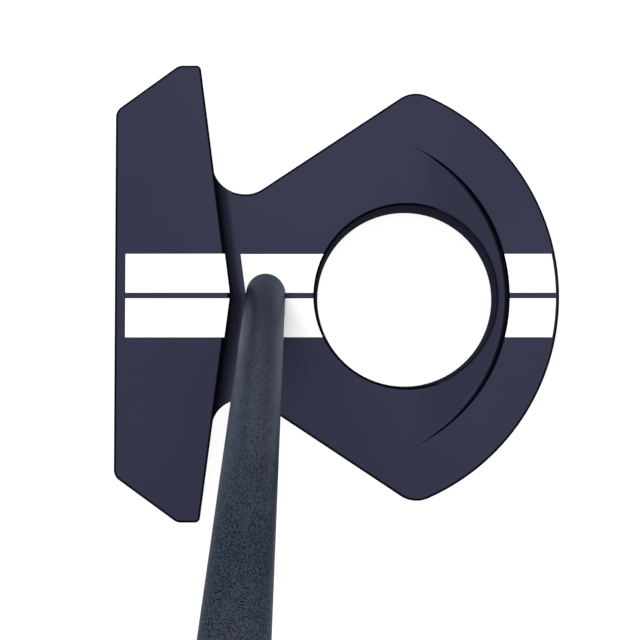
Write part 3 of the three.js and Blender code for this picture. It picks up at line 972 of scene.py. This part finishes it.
def wrapped(tree, grid, turn, radius, height):
    """A grid wrapped round Z, with its seam welded; turn is the share of a full turn."""
    angle = calc(tree, "MULTIPLY", turn, math.tau)
    place = node(
        tree,
        "ShaderNodeCombineXYZ",
        X=calc(tree, "MULTIPLY", radius, calc(tree, "COSINE", angle)),
        Y=calc(tree, "MULTIPLY", radius, calc(tree, "SINE", angle)),
        Z=height,
    )
    moved = node(tree, "GeometryNodeSetPosition", i0=grid.outputs[0], Position=place.outputs[0])
    return node(tree, "GeometryNodeMergeByDistance", i0=moved.outputs[0], Distance=0.001).outputs[0]


def seed(name):
    """A lone triangle, for a tree that makes its own geometry to run on."""
    return solid_object(name, [(0, 0, 0), (1, 0, 0), (0, 1, 0)], [(0, 1, 2)])


print("geometry node helpers ready")


# %% The insert and its pocket
INSERT_LENGTH = 72
INSERT_HEIGHT = 16.5
INSERT_CORNER = 3.5
INSERT_THICKNESS = 3
INSERT_CENTRE_Z = 12
INSERT_GAP = 0.08
GROOVE_PITCH = 1.1
GROOVE_WIDTH = 0.7
BOND_FILM = 0.4
POCKET_ROOM = 0.6
POCKET_CUT_FRONT = -5
INSERT_BREAK = 0.25
GROOVE_CUT_LENGTH = 80.0

face_point = Vector((FACE_X - (BAR_TOP - INSERT_CENTRE_Z) * math.tan(LOFT), 0, INSERT_CENTRE_Z))
face_place = Matrix.Translation(face_point) @ Matrix.Rotation(LOFT, 4, "Y")


def face_plate(name, front, back, grown, broken=0.0):
    """A rounded plate on the face, from its surface inwards, with a broken front edge."""
    half_y, half_z = INSERT_LENGTH / 2 + grown, INSERT_HEIGHT / 2 + grown
    radius = INSERT_CORNER + grown
    corners = [(half_y, half_z), (-half_y, half_z), (-half_y, -half_z), (half_y, -half_z)]
    outline = without_doubles(rounded_loop([(y, z, radius) for y, z in corners]))
    levels = [(broken, front), (0, front + broken), (0, back)] if broken else [(0, front), (0, back)]
    rings = [[Vector((x, p.x, p.y)) for p in inset(outline, d)] for d, x in levels]
    return lofted(name, rings)


def groove_tree(material):
    """Cuts a row of V grooves along Y into a plate that faces -X."""
    sizes = {"Count": 14, "Pitch": 1.0, "Width": 0.5, "Length": 80.0}
    tree, given, output = new_tree("fly_cut_grooves", sizes)
    size = given.outputs
    last = calc(tree, "MULTIPLY", calc(tree, "SUBTRACT", size["Count"], 1.0), size["Pitch"])
    first = node(tree, "ShaderNodeCombineXYZ", Z=calc(tree, "MULTIPLY", last, -0.5))
    step = node(tree, "ShaderNodeCombineXYZ", Z=size["Pitch"])
    wires = {"Count": size["Count"], "Start_Location": first.outputs[0], "Offset": step.outputs[0]}
    line = node(tree, "GeometryNodeMeshLine", **wires)
    block = node(tree, "ShaderNodeCombineXYZ", X=size["Width"], Y=size["Length"], Z=size["Width"])
    bar = node(tree, "GeometryNodeMeshCube", Size=block.outputs[0])
    turned_bar = node(tree, "GeometryNodeTransform", i0=bar.outputs[0], Rotation=(0, math.pi / 4, 0))
    row = node(tree, "GeometryNodeInstanceOnPoints", Points=line.outputs[0], Instance=turned_bar.outputs[0])
    bars = node(tree, "GeometryNodeRealizeInstances", i0=row.outputs[0])
    cut = node(tree, "GeometryNodeMeshBoolean", {"operation": "DIFFERENCE", "solver": "EXACT"})
    tree.links.new(size["Geometry"], cut.inputs[0])
    tree.links.new(bars.outputs[0], cut.inputs[1])
    finish_tree(tree, cut.outputs[0], output, material)
    return tree


def steel_finish():
    """Fly-cut stainless steel, with fine streaks along the grooves."""
    material, tree, shader = new_finish("fly_cut_steel", 1.0, 0.32)
    streaks = noise(tree, 90, stretch=(1, 1, 30), detail=3)
    surface(tree, shader, streaks, ((0.36, 0.365, 0.38), (0.47, 0.475, 0.49)), (0.27, 0.38))
    relief(tree, shader, streaks, 0.00001, 0.4)
    return material


pocket_depth = INSERT_THICKNESS + BOND_FILM + POCKET_ROOM
pocket = face_plate("pocket", POCKET_CUT_FRONT, pocket_depth, INSERT_GAP)
pocket.data.transform(face_place)
combine(head, pocket, "DIFFERENCE")
steel = steel_finish()
insert = face_plate("face_insert_grooved", 0, INSERT_THICKNESS, 0, broken=INSERT_BREAK)
groove_count = int(INSERT_HEIGHT / GROOVE_PITCH)
bar_width = GROOVE_WIDTH * math.sqrt(0.5)
sizes = {"Count": groove_count, "Pitch": GROOVE_PITCH, "Width": bar_width, "Length": GROOVE_CUT_LENGTH}
run_tree(insert, groove_tree(steel), sizes)
install(finish_mesh(insert, steel, face_place), "face_steel", "face_insert")
print(groove_count, "grooves", GROOVE_PITCH, "mm apart")


# %% [markdown]
# ## The sole weights
# Eight threaded steel weights are screwed into the sole to set how heavy the head swings. Each is a short
# set screw with a hexagon socket. A thread is a shape that follows a rule: its radius goes in and out as
# height and angle turn together. So a Geometry Nodes grid is wrapped round, one formula gives the radius,
# and the ends of the grid are drawn in to the middle. A hexagon is then cut out. One mesh serves all eight.

# %% The threaded weight
WEIGHT_RADIUS = 4.0
WEIGHT_LENGTH = 8.0
WEIGHT_RECESS = 0.6
THREAD_PITCH = 1.0
THREAD_DEPTH = 0.5
SOCKET_ACROSS_FLATS = 4.0
SOCKET_DEPTH = 3.0
BORE_CHAMFER = 0.5
BORE_ROOM = 0.3
BORE_GAP = 0.1
BORE_CUT_LOW = -2


def thread_tree(material):
    """A threaded plug with a hexagon socket in its lower end; it makes its own geometry."""
    sizes = {"Radius": 4.0, "Length": 8.0, "Pitch": 1.0, "Depth": 0.5, "Chamfer": 0.5}
    sizes.update({"Across": 4.0, "Socket": 3.0})
    tree, given, output = new_tree("threaded_weight", sizes)
    size = given.outputs
    grid = node(tree, "GeometryNodeMeshGrid", Size_X=1.0, Size_Y=2.0, Vertices_X=49, Vertices_Y=113)
    place = node(tree, "GeometryNodeInputPosition")
    split = node(tree, "ShaderNodeSeparateXYZ", Vector=place.outputs[0])
    share = calc(tree, "ADD", split.outputs["Y"], 0.5)
    inside = calc(tree, "MINIMUM", calc(tree, "MAXIMUM", share, 0.0), 1.0)
    past = calc(tree, "ABSOLUTE", calc(tree, "SUBTRACT", share, inside))
    drawn_in = calc(tree, "SUBTRACT", 1.0, calc(tree, "MULTIPLY", past, 2.0))
    height = calc(tree, "MULTIPLY", inside, size["Length"])
    turns = calc(tree, "SUBTRACT", calc(tree, "DIVIDE", height, size["Pitch"]), split.outputs["X"])
    wave = calc(tree, "ADD", calc(tree, "COSINE", calc(tree, "MULTIPLY", turns, math.tau)), 1.0)
    groove = calc(tree, "MULTIPLY", calc(tree, "MULTIPLY", wave, 0.5), size["Depth"])
    to_end = calc(tree, "MINIMUM", height, calc(tree, "SUBTRACT", size["Length"], height))
    chamfer = calc(tree, "MAXIMUM", calc(tree, "SUBTRACT", size["Chamfer"], to_end), 0.0)
    full = calc(tree, "SUBTRACT", calc(tree, "SUBTRACT", size["Radius"], groove), chamfer)
    plug_round = wrapped(tree, grid, split.outputs["X"], calc(tree, "MULTIPLY", full, drawn_in), height)
    hexagon = node(tree, "GeometryNodeMeshCylinder", Vertices=6)
    tree.links.new(calc(tree, "DIVIDE", size["Across"], math.sqrt(3)), hexagon.inputs["Radius"])
    tree.links.new(calc(tree, "MULTIPLY", size["Socket"], 2.0), hexagon.inputs["Depth"])
    cut = node(tree, "GeometryNodeMeshBoolean", {"operation": "DIFFERENCE", "solver": "EXACT"})
    tree.links.new(plug_round, cut.inputs[0])
    tree.links.new(hexagon.outputs[0], cut.inputs[1])
    finish_tree(tree, cut.outputs[0], output, material)
    return tree


def turned_steel_finish():
    """Dark turned steel: fine rings round each weight's own axis, kept in an attribute."""
    material, tree, shader = new_finish("turned_steel", 1.0, 0.38)
    from_axis = tree.nodes.new("ShaderNodeAttribute")
    from_axis.attribute_name = "from_axis"
    rings = combined(tree, "SINE", combined(tree, "MULTIPLY", from_axis.outputs["Fac"], 24000.0), 0)
    level = combined(tree, "MULTIPLY", rings, 0.12)
    cloud = combined(tree, "ADD", noise(tree, 500, detail=3), level)
    surface(tree, shader, cloud, ((0.07, 0.071, 0.076), (0.14, 0.142, 0.15)), (0.3, 0.46))
    relief(tree, shader, level, 0.00002, 0.6)
    return material


def keep_from_axis(made):
    """Writes each vertex's distance from the Z axis, in metres, into an attribute."""
    distances = [math.hypot(v.co.x, v.co.y) * MM for v in made.data.vertices]
    made.data.attributes.new("from_axis", "FLOAT", "POINT").data.foreach_set("value", distances)


def weight_bore():
    """The cutter for a weight's bore, with a chamfer at the sole."""
    wide = WEIGHT_RADIUS + BORE_GAP
    rim = [(wide + BORE_CHAMFER, BORE_CUT_LOW), (wide + BORE_CHAMFER, 0), (wide, BORE_CHAMFER)]
    return turned("weight_bore", [*rim, (wide, WEIGHT_RECESS + WEIGHT_LENGTH + BORE_ROOM)], 64)


turned_steel = turned_steel_finish()
pattern = seed("weight_pattern")
sizes = {
    "Radius": WEIGHT_RADIUS,
    "Length": WEIGHT_LENGTH,
    "Pitch": THREAD_PITCH,
    "Depth": THREAD_DEPTH,
    "Chamfer": BORE_CHAMFER,
    "Across": SOCKET_ACROSS_FLATS,
    "Socket": SOCKET_DEPTH,
}
run_tree(pattern, thread_tree(turned_steel), sizes)
keep_from_axis(pattern)
weight_nodes = sorted(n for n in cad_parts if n.startswith("sole_weight"))
for name in weight_nodes:
    low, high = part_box(name)
    site = Matrix.Translation(((low.x + high.x) / 2 / MM, (low.y + high.y) / 2 / MM, 0))
    bore = weight_bore()
    bore.data.transform(site)
    combine(head, bore, "DIFFERENCE")
    weight = bpy.data.objects.new(f"{name}_threaded", pattern.data.copy())
    bpy.context.scene.collection.objects.link(weight)
    place = site @ Matrix.Translation((0, 0, WEIGHT_RECESS))
    install(finish_mesh(weight, turned_steel, place), "weight_metal", name)
bpy.data.objects.remove(pattern)
print(len(weight_nodes), "weights in the sole")


# %% Finish the head
install(finish_mesh(head, anodised), "head_anodised", "head_body")


# %% [markdown]
# ## The glue lines
# A film of epoxy holds the insert, and a sleeve of it holds the shaft. Both are almost hidden. The film
# keeps its CAD shape and only gets a finish: a dark grey resin with small bubbles. The sleeve is
# made again, thinner, because the finished bore is tighter than the CAD one.

# %% Epoxy
BOND_BELOW_DECK = 0.12


def epoxy_finish():
    """Cured grey epoxy with small bubbles."""
    material, tree, shader = new_finish("cured_epoxy", 0.0, 0.3)
    bubbles = noise(tree, 2200, detail=2)
    surface(tree, shader, bubbles, ((0.018, 0.018, 0.02), (0.05, 0.05, 0.05)), (0.25, 0.5))
    relief(tree, shader, bubbles, 0.00002, 0.5)
    return material


epoxy = epoxy_finish()
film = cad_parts["insert_bond"]
film.data.materials.clear()
film.data.materials.append(epoxy)
bond_top = (DECK_TOP - BOND_BELOW_DECK - TIP_RADIUS * math.cos(LIE)) / math.sin(LIE)
wide, narrow = TIP_RADIUS + BOND_THICKNESS, TIP_RADIUS + 0.01
sleeve = [(wide, TIP_STATION), (wide, bond_top), (narrow, bond_top), (narrow, TIP_STATION)]
bond = turned("shaft_bond_sleeve", sleeve, closed=True)
install(finish_mesh(bond, epoxy, shaft_place), "adhesive", "shaft_bond")


# %% [markdown]
# ## The shaft
# The shaft is a drawn steel tube. It is parallel where it enters the head and then widens evenly to the
# butt. Its finish is a satin blue-grey coating with a fine grain, blasted before it was coated. A tube
# could be a curve with a bevel. A profile that is turned round the axis gives the wall its thickness too,
# and its open ends are closed by the wall itself. The coat's tone changes a little over the lowest part,
# tuned for the look: it stands in for what a real shaft mirrors there.

# %% Shaft and tip plug
# Painted reflection: greys that the coat's colour and edge tint are multiplied by, from the tip upwards.
COAT_SHADES = ((0.1, 0.85), (0.3, 1.0), (0.75, 0.72))
SHADED_HEIGHT = 0.2
SPECKLE_TONES = ((0.01, 0.012, 0.018), (0.105, 0.122, 0.165))
GLINT_TONES = ((0.4, 0.44, 0.52), (0.8, 0.85, 0.94))
GRAIN_FROM, GRAIN_TO = 0.32, 0.7
TUBE_LIP = 0.25


def shaft_radius(station):
    """The shaft's outer radius: parallel at the tip, then one even taper."""
    share = min(1, max(0, (station - TAPER_STATION) / (BUTT_STATION - TAPER_STATION)))
    return TIP_RADIUS + share * (BUTT_RADIUS - TIP_RADIUS)


def coated_finish():
    """Satin blue-grey coating over blasted steel, with a fine grain and painted reflection by height."""
    material, tree, shader = new_finish("blasted_satin_coat", 0.8, 0.42, specular=0.0)
    grain = noise(tree, 3900, detail=1)
    drift = noise(tree, 60, stretch=(1, 1, 0.25), detail=2)
    fine, slow = combined(tree, "MULTIPLY", grain, 0.85), combined(tree, "MULTIPLY", drift, 0.15)
    mixed = combined(tree, "ADD", fine, slow)
    speckled = ramp(tree, mixed, *SPECKLE_TONES, GRAIN_FROM, GRAIN_TO)
    glints = ramp(tree, mixed, *GLINT_TONES, GRAIN_FROM, GRAIN_TO)
    # Painted reflection: colour and edge tint go lighter and darker with height over the lowest 200 mm.
    height = combined(tree, "MULTIPLY", axes(tree, "Object")["Z"], 1 / SHADED_HEIGHT)
    tree.links.new(shaded(tree, speckled, height, COAT_SHADES), shader.inputs["Base Color"])
    tree.links.new(shaded(tree, glints, height, COAT_SHADES), shader.inputs["Specular Tint"])
    tree.links.new(span(tree, grain, 0.34, 0.5), shader.inputs["Roughness"])
    relief(tree, shader, grain, 0.00004, 0.6)
    return material


def cork_finish():
    """Pressed cork: light grains with dark specks."""
    material, tree, shader = new_finish("pressed_cork", 0.0, 0.9, specular=0.2)
    grains = noise(tree, 1400, detail=3)
    surface(tree, shader, grains, ((0.16, 0.085, 0.035), (0.5, 0.32, 0.15)))
    relief(tree, shader, grains, 0.0001, 0.6)
    return material


coat = coated_finish()
outer_stations = (TIP_STATION + TUBE_LIP, 60, 120, TAPER_STATION, 400, 600, BUTT_STATION - TUBE_LIP)
inner_stations = (BUTT_STATION, TAPER_STATION, TIP_STATION)
outside = [(shaft_radius(s), s) for s in outer_stations]
inside = [(shaft_radius(s) - SHAFT_WALL, s) for s in inner_stations]
ends = ((TIP_RADIUS - TUBE_LIP, TIP_STATION), (BUTT_RADIUS - TUBE_LIP, BUTT_STATION))
profile = [ends[0], *outside, ends[1], *inside]
tube = turned("shaft_tube", profile, steps=128, closed=True)
install(finish_mesh(tube, coat, shaft_place), "shaft_finish", "shaft")
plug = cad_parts["shaft_tip_plug"]
plug.data.materials.clear()
plug.data.materials.append(cork_finish())
print("the shaft is", 2 * TIP_RADIUS, "mm across at the tip and", 2 * BUTT_RADIUS, "mm at the butt")


# %% [markdown]
# ## The grip tape
# Under the grip, double-sided tape is wound round the shaft in a spiral, so that the grip stays put. Each
# turn laps a little over the last, which leaves a spiral step. The same idea as the thread makes it: a grid
# is wrapped round and a formula gives each point its radius. A Solidify
# modifier gives it its wall.

# %% The wound tape
TAPE_LENGTH = 255.0
TAPE_TURN = 22.0
TAPE_GAP = 0.15
TAPE_THICKNESS = 0.25
TAPE_WALL = 0.15
TAPE_STEP = 0.08


def tape_tree(material):
    """A tapering sleeve with a spiral step, wound round Z."""
    sizes = {"Start": 603.0, "Length": 255.0, "Turn": 22.0, "Step": 0.1}
    sizes.update({"Low radius": 6.5, "High radius": 7.6})
    tree, given, output = new_tree("wound_tape", sizes)
    size = given.outputs
    grid = node(tree, "GeometryNodeMeshGrid", Size_X=1.0, Size_Y=1.0, Vertices_X=65, Vertices_Y=201)
    place = node(tree, "GeometryNodeInputPosition")
    split = node(tree, "ShaderNodeSeparateXYZ", Vector=place.outputs[0])
    share = calc(tree, "ADD", split.outputs["Y"], 0.5)
    along = calc(tree, "MULTIPLY", share, size["Length"])
    turns = calc(tree, "SUBTRACT", calc(tree, "DIVIDE", along, size["Turn"]), split.outputs["X"])
    lap = calc(tree, "MULTIPLY", calc(tree, "FRACT", turns), size["Step"])
    spread = calc(tree, "SUBTRACT", size["High radius"], size["Low radius"])
    base = calc(tree, "ADD", size["Low radius"], calc(tree, "MULTIPLY", share, spread))
    station = calc(tree, "ADD", size["Start"], along)
    sleeve = wrapped(tree, grid, split.outputs["X"], calc(tree, "SUBTRACT", base, lap), station)
    finish_tree(tree, sleeve, output, material)
    return tree


def tape_finish():
    """Creped paper tape."""
    material, tree, shader = new_finish("creped_tape", 0.0, 0.85, specular=0.2)
    crepe = noise(tree, 700, stretch=(1, 1, 3), detail=3)
    surface(tree, shader, crepe, ((0.5, 0.45, 0.33), (0.68, 0.63, 0.5)))
    relief(tree, shader, crepe, 0.00005, 0.6)
    return material


def with_inner_wall(made, thickness):
    """Gives a tube with open ends its wall, inwards, and closes the ends."""
    wall = made.modifiers.new("wall", "SOLIDIFY")
    wall.thickness = thickness
    wall.offset = -1
    return bake(made)


tape_colour = tape_finish()
tape_start = BUTT_STATION - TAPE_LENGTH
tape_top = TAPE_GAP + TAPE_THICKNESS
sizes = {
    "Start": tape_start,
    "Length": TAPE_LENGTH,
    "Low radius": shaft_radius(tape_start) + tape_top,
    "High radius": BUTT_RADIUS + tape_top,
    "Turn": TAPE_TURN,
    "Step": TAPE_STEP,
}
tape = seed("grip_tape_wound")
run_tree(tape, tape_tree(tape_colour), sizes)
with_inner_wall(tape, TAPE_WALL)
install(finish_mesh(tape, tape_colour, shaft_place), "tape", "grip_tape")


# %% [markdown]
# ## The grip
# A putter's grip isn't round. It has a flat front for the thumbs, which faces up and towards the toe, and a
# round back. It widens from its mouth to the butt. Its surface has rows of small moulded pips. The body is
# lofted through sections. The pips repeat over a surface, so Geometry Nodes place one small dome on each
# face of the body that carries the attribute "pips", turned to the face's own normal.

# %% The grip's body
GRIP_LENGTH = 267
GRIP_BUTT_WIDTH = 27
GRIP_TIP_WIDTH = 19
GRIP_SWELL = 0.8
GRIP_FLAT = 0.86
GRIP_BORE_GAP = 0.6
GRIP_MOUTH_ROUND = 2.2
GRIP_AROUND = 64
GRIP_ROWS = 118
PLAIN_MARGIN = 9
grip_start = BUTT_STATION - GRIP_LENGTH


def grip_width(share):
    """The grip's width at a share of its length from its mouth."""
    swell = math.sin(math.pi * min(1, max(0, 1.15 * share)))
    return GRIP_TIP_WIDTH + (GRIP_BUTT_WIDTH - GRIP_TIP_WIDTH) * max(0, share) ** 0.8 + swell * GRIP_SWELL


def grip_ring(station, shrink=0.0):
    """The grip's section at a station: a circle with a softened flat on its +Y side."""
    radius = grip_width((station - grip_start) / GRIP_LENGTH) / 2 - shrink
    ring = []
    for i in range(GRIP_AROUND):
        angle = math.tau * i / GRIP_AROUND
        x, y = radius * math.sin(angle), -radius * math.cos(angle)
        limit = radius * GRIP_FLAT
        over = max(0.0, y - limit * 0.97)
        ring.append(Vector((x, min(y, limit * 0.97 + over * 0.12), station)))
    return ring


def round_ring(radius, station):
    """A round section with the grip's own number of points."""
    angles = [math.tau * i / GRIP_AROUND for i in range(GRIP_AROUND)]
    return [Vector((radius * math.sin(a), -radius * math.cos(a), station)) for a in angles]


def grip_body():
    """The grip as a tube: outside, rounded mouth, and the bore over the tape."""
    mouth = [(GRIP_MOUTH_ROUND * (1 - s), grip_start + GRIP_MOUTH_ROUND * (1 - c)) for s, c in quarter()]
    straight = GRIP_LENGTH - GRIP_MOUTH_ROUND
    rows = [GRIP_MOUTH_ROUND + straight * i / GRIP_ROWS for i in range(1, GRIP_ROWS + 1)]
    rings = [grip_ring(z, shrink) for shrink, z in mouth] + [grip_ring(grip_start + r) for r in rows]
    for station in (BUTT_STATION, grip_start):
        rings.append(round_ring(shaft_radius(station) + GRIP_BORE_GAP, station))
    return lofted("grip_moulded", rings, closed=True)


def mark_pips(made):
    """Marks every second face of the outside, in a staggered pattern, to carry a pip."""
    carries = []
    for face in made.data.polygons:
        centre = face.center
        station, out = centre.z - grip_start, math.hypot(centre.x, centre.y)
        in_zone = PLAIN_MARGIN < station < GRIP_LENGTH - PLAIN_MARGIN and out > shaft_radius(centre.z) + 1.5
        column = int((math.atan2(centre.x, -centre.y) % math.tau) / math.tau * GRIP_AROUND)
        row = int(station / GRIP_LENGTH * GRIP_ROWS)
        carries.append(in_zone and (column + row) % 2 == 0)
    made.data.attributes.new("pips", "BOOLEAN", "FACE").data.foreach_set("value", carries)
    return sum(carries)


body = grip_body()
print(mark_pips(body), "faces of the grip carry a pip")


# %% The pips and the rubber
PIP_WIDTH = 0.8
PIP_HEIGHT = 0.28


def pip_tree(material):
    """A flat dome on every face that carries the attribute."""
    tree, given, output = new_tree("moulded_pips", {"Width": 0.9, "Height": 0.28})
    size = given.outputs
    marked = node(tree, "GeometryNodeInputNamedAttribute", {"data_type": "BOOLEAN"}, Name="pips")
    dome = node(tree, "GeometryNodeMeshIcoSphere", Radius=1.0, Subdivisions=1)
    normal = node(tree, "GeometryNodeInputNormal")
    stored = node(
        tree,
        "GeometryNodeStoreNamedAttribute",
        {"data_type": "FLOAT_VECTOR", "domain": "FACE"},
        Geometry=size["Geometry"],
        Name="way_out",
        Value=normal.outputs[0],
    )
    wires = {"Mesh": stored.outputs[0], "Selection": marked.outputs[0]}
    points = node(tree, "GeometryNodeMeshToPoints", {"mode": "FACES"}, **wires)
    way_out = node(tree, "GeometryNodeInputNamedAttribute", {"data_type": "FLOAT_VECTOR"}, Name="way_out")
    turn = node(tree, "FunctionNodeAlignRotationToVector", {"axis": "Z"}, Vector=way_out.outputs[0])
    half = calc(tree, "MULTIPLY", size["Width"], 0.5)
    scale = node(tree, "ShaderNodeCombineXYZ", X=half, Y=half, Z=size["Height"])
    domes = node(
        tree,
        "GeometryNodeInstanceOnPoints",
        Points=points.outputs[0],
        Instance=dome.outputs[0],
        Rotation=turn.outputs[0],
        Scale=scale.outputs[0],
    )
    both = node(tree, "GeometryNodeJoinGeometry")
    tree.links.new(domes.outputs[0], both.inputs[0])
    tree.links.new(size["Geometry"], both.inputs[0])
    finish_tree(tree, both.outputs[0], output, material)
    return tree


def rubber_finish():
    """Matt black moulded rubber with a slight bloom."""
    material, tree, shader = new_finish("moulded_rubber", 0.0, 0.7, specular=0.35)
    bloom = noise(tree, 35, detail=4)
    skin = noise(tree, 2600, detail=2)
    surface(tree, shader, bloom, ((0.011, 0.012, 0.014), (0.02, 0.021, 0.024)), (0.62, 0.8))
    relief(tree, shader, skin, 0.00004, 0.5)
    return material


rubber = rubber_finish()
run_tree(body, pip_tree(rubber), {"Width": PIP_WIDTH, "Height": PIP_HEIGHT})
install(finish_mesh(body, rubber, shaft_place), "grip_rubber", "grip")


# %% [markdown]
# ## The cap
# A moulded plastic cap closes the butt. It follows the grip's outline, is slightly domed, and has a small
# vent hole in the middle with a turned step round it, which lets the air out as the grip is pushed on.
# It is lofted from the grip's own section, so that the two always match, and its stem goes down the shaft.

# %% Cap
CAP_THICKNESS = 3.0
CAP_GAP = 0.1
CAP_ROUND = 1.3
STEP_RADIUS = 4.6
VENT_RADIUS = 1.1
STEM_LENGTH = 12
STEM_PLAY = 0.3
STEM_TAPER = 0.6
STEM_BREAK = 1
STEP_RISE = 0.5
VENT_BREAK = 0.3


def cap_finish():
    """Hard black plastic with a fine spark-eroded texture."""
    material, tree, shader = new_finish("hard_cap_plastic", 0.0, 0.42)
    spark = noise(tree, 3200, detail=2)
    surface(tree, shader, spark, ((0.007, 0.007, 0.008), (0.014, 0.014, 0.016)), (0.36, 0.5))
    relief(tree, shader, spark, 0.00002, 0.5)
    return material


def cap_body():
    """Stem, flange with a rounded edge, a shallow turned step and the vent hole."""
    base = BUTT_STATION + CAP_GAP
    top = BUTT_STATION + CAP_THICKNESS
    low = BUTT_STATION - STEM_LENGTH
    stem = BUTT_RADIUS - (SHAFT_WALL + STEM_PLAY)
    rings = [round_ring(VENT_RADIUS, low + STEM_BREAK), round_ring(stem - STEM_TAPER, low)]
    rings += [round_ring(stem, low + STEM_TAPER), round_ring(stem, base), grip_ring(base)]
    for s, c in quarter():
        ring = grip_ring(BUTT_STATION, CAP_ROUND * (1 - c))
        rings.append([Vector((p.x, p.y, top - CAP_ROUND * (1 - s))) for p in ring])
    sunk = top - STEP_RISE
    rings += [round_ring(STEP_RADIUS + STEP_RISE, top), round_ring(STEP_RADIUS, sunk)]
    rings += [round_ring(VENT_RADIUS + VENT_BREAK, sunk), round_ring(VENT_RADIUS, sunk - VENT_BREAK)]
    return lofted("grip_cap_moulded", rings, closed=True)


install(finish_mesh(cap_body(), cap_finish(), shaft_place), "cap_plastic", "grip_cap")



fine_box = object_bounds()
growth = max(abs(a - b) for old, new in zip(cad_box, fine_box) for a, b in zip(old, new))
print("the finished model differs from the CAD box by at most", round(growth * 1000, 2), "mm")
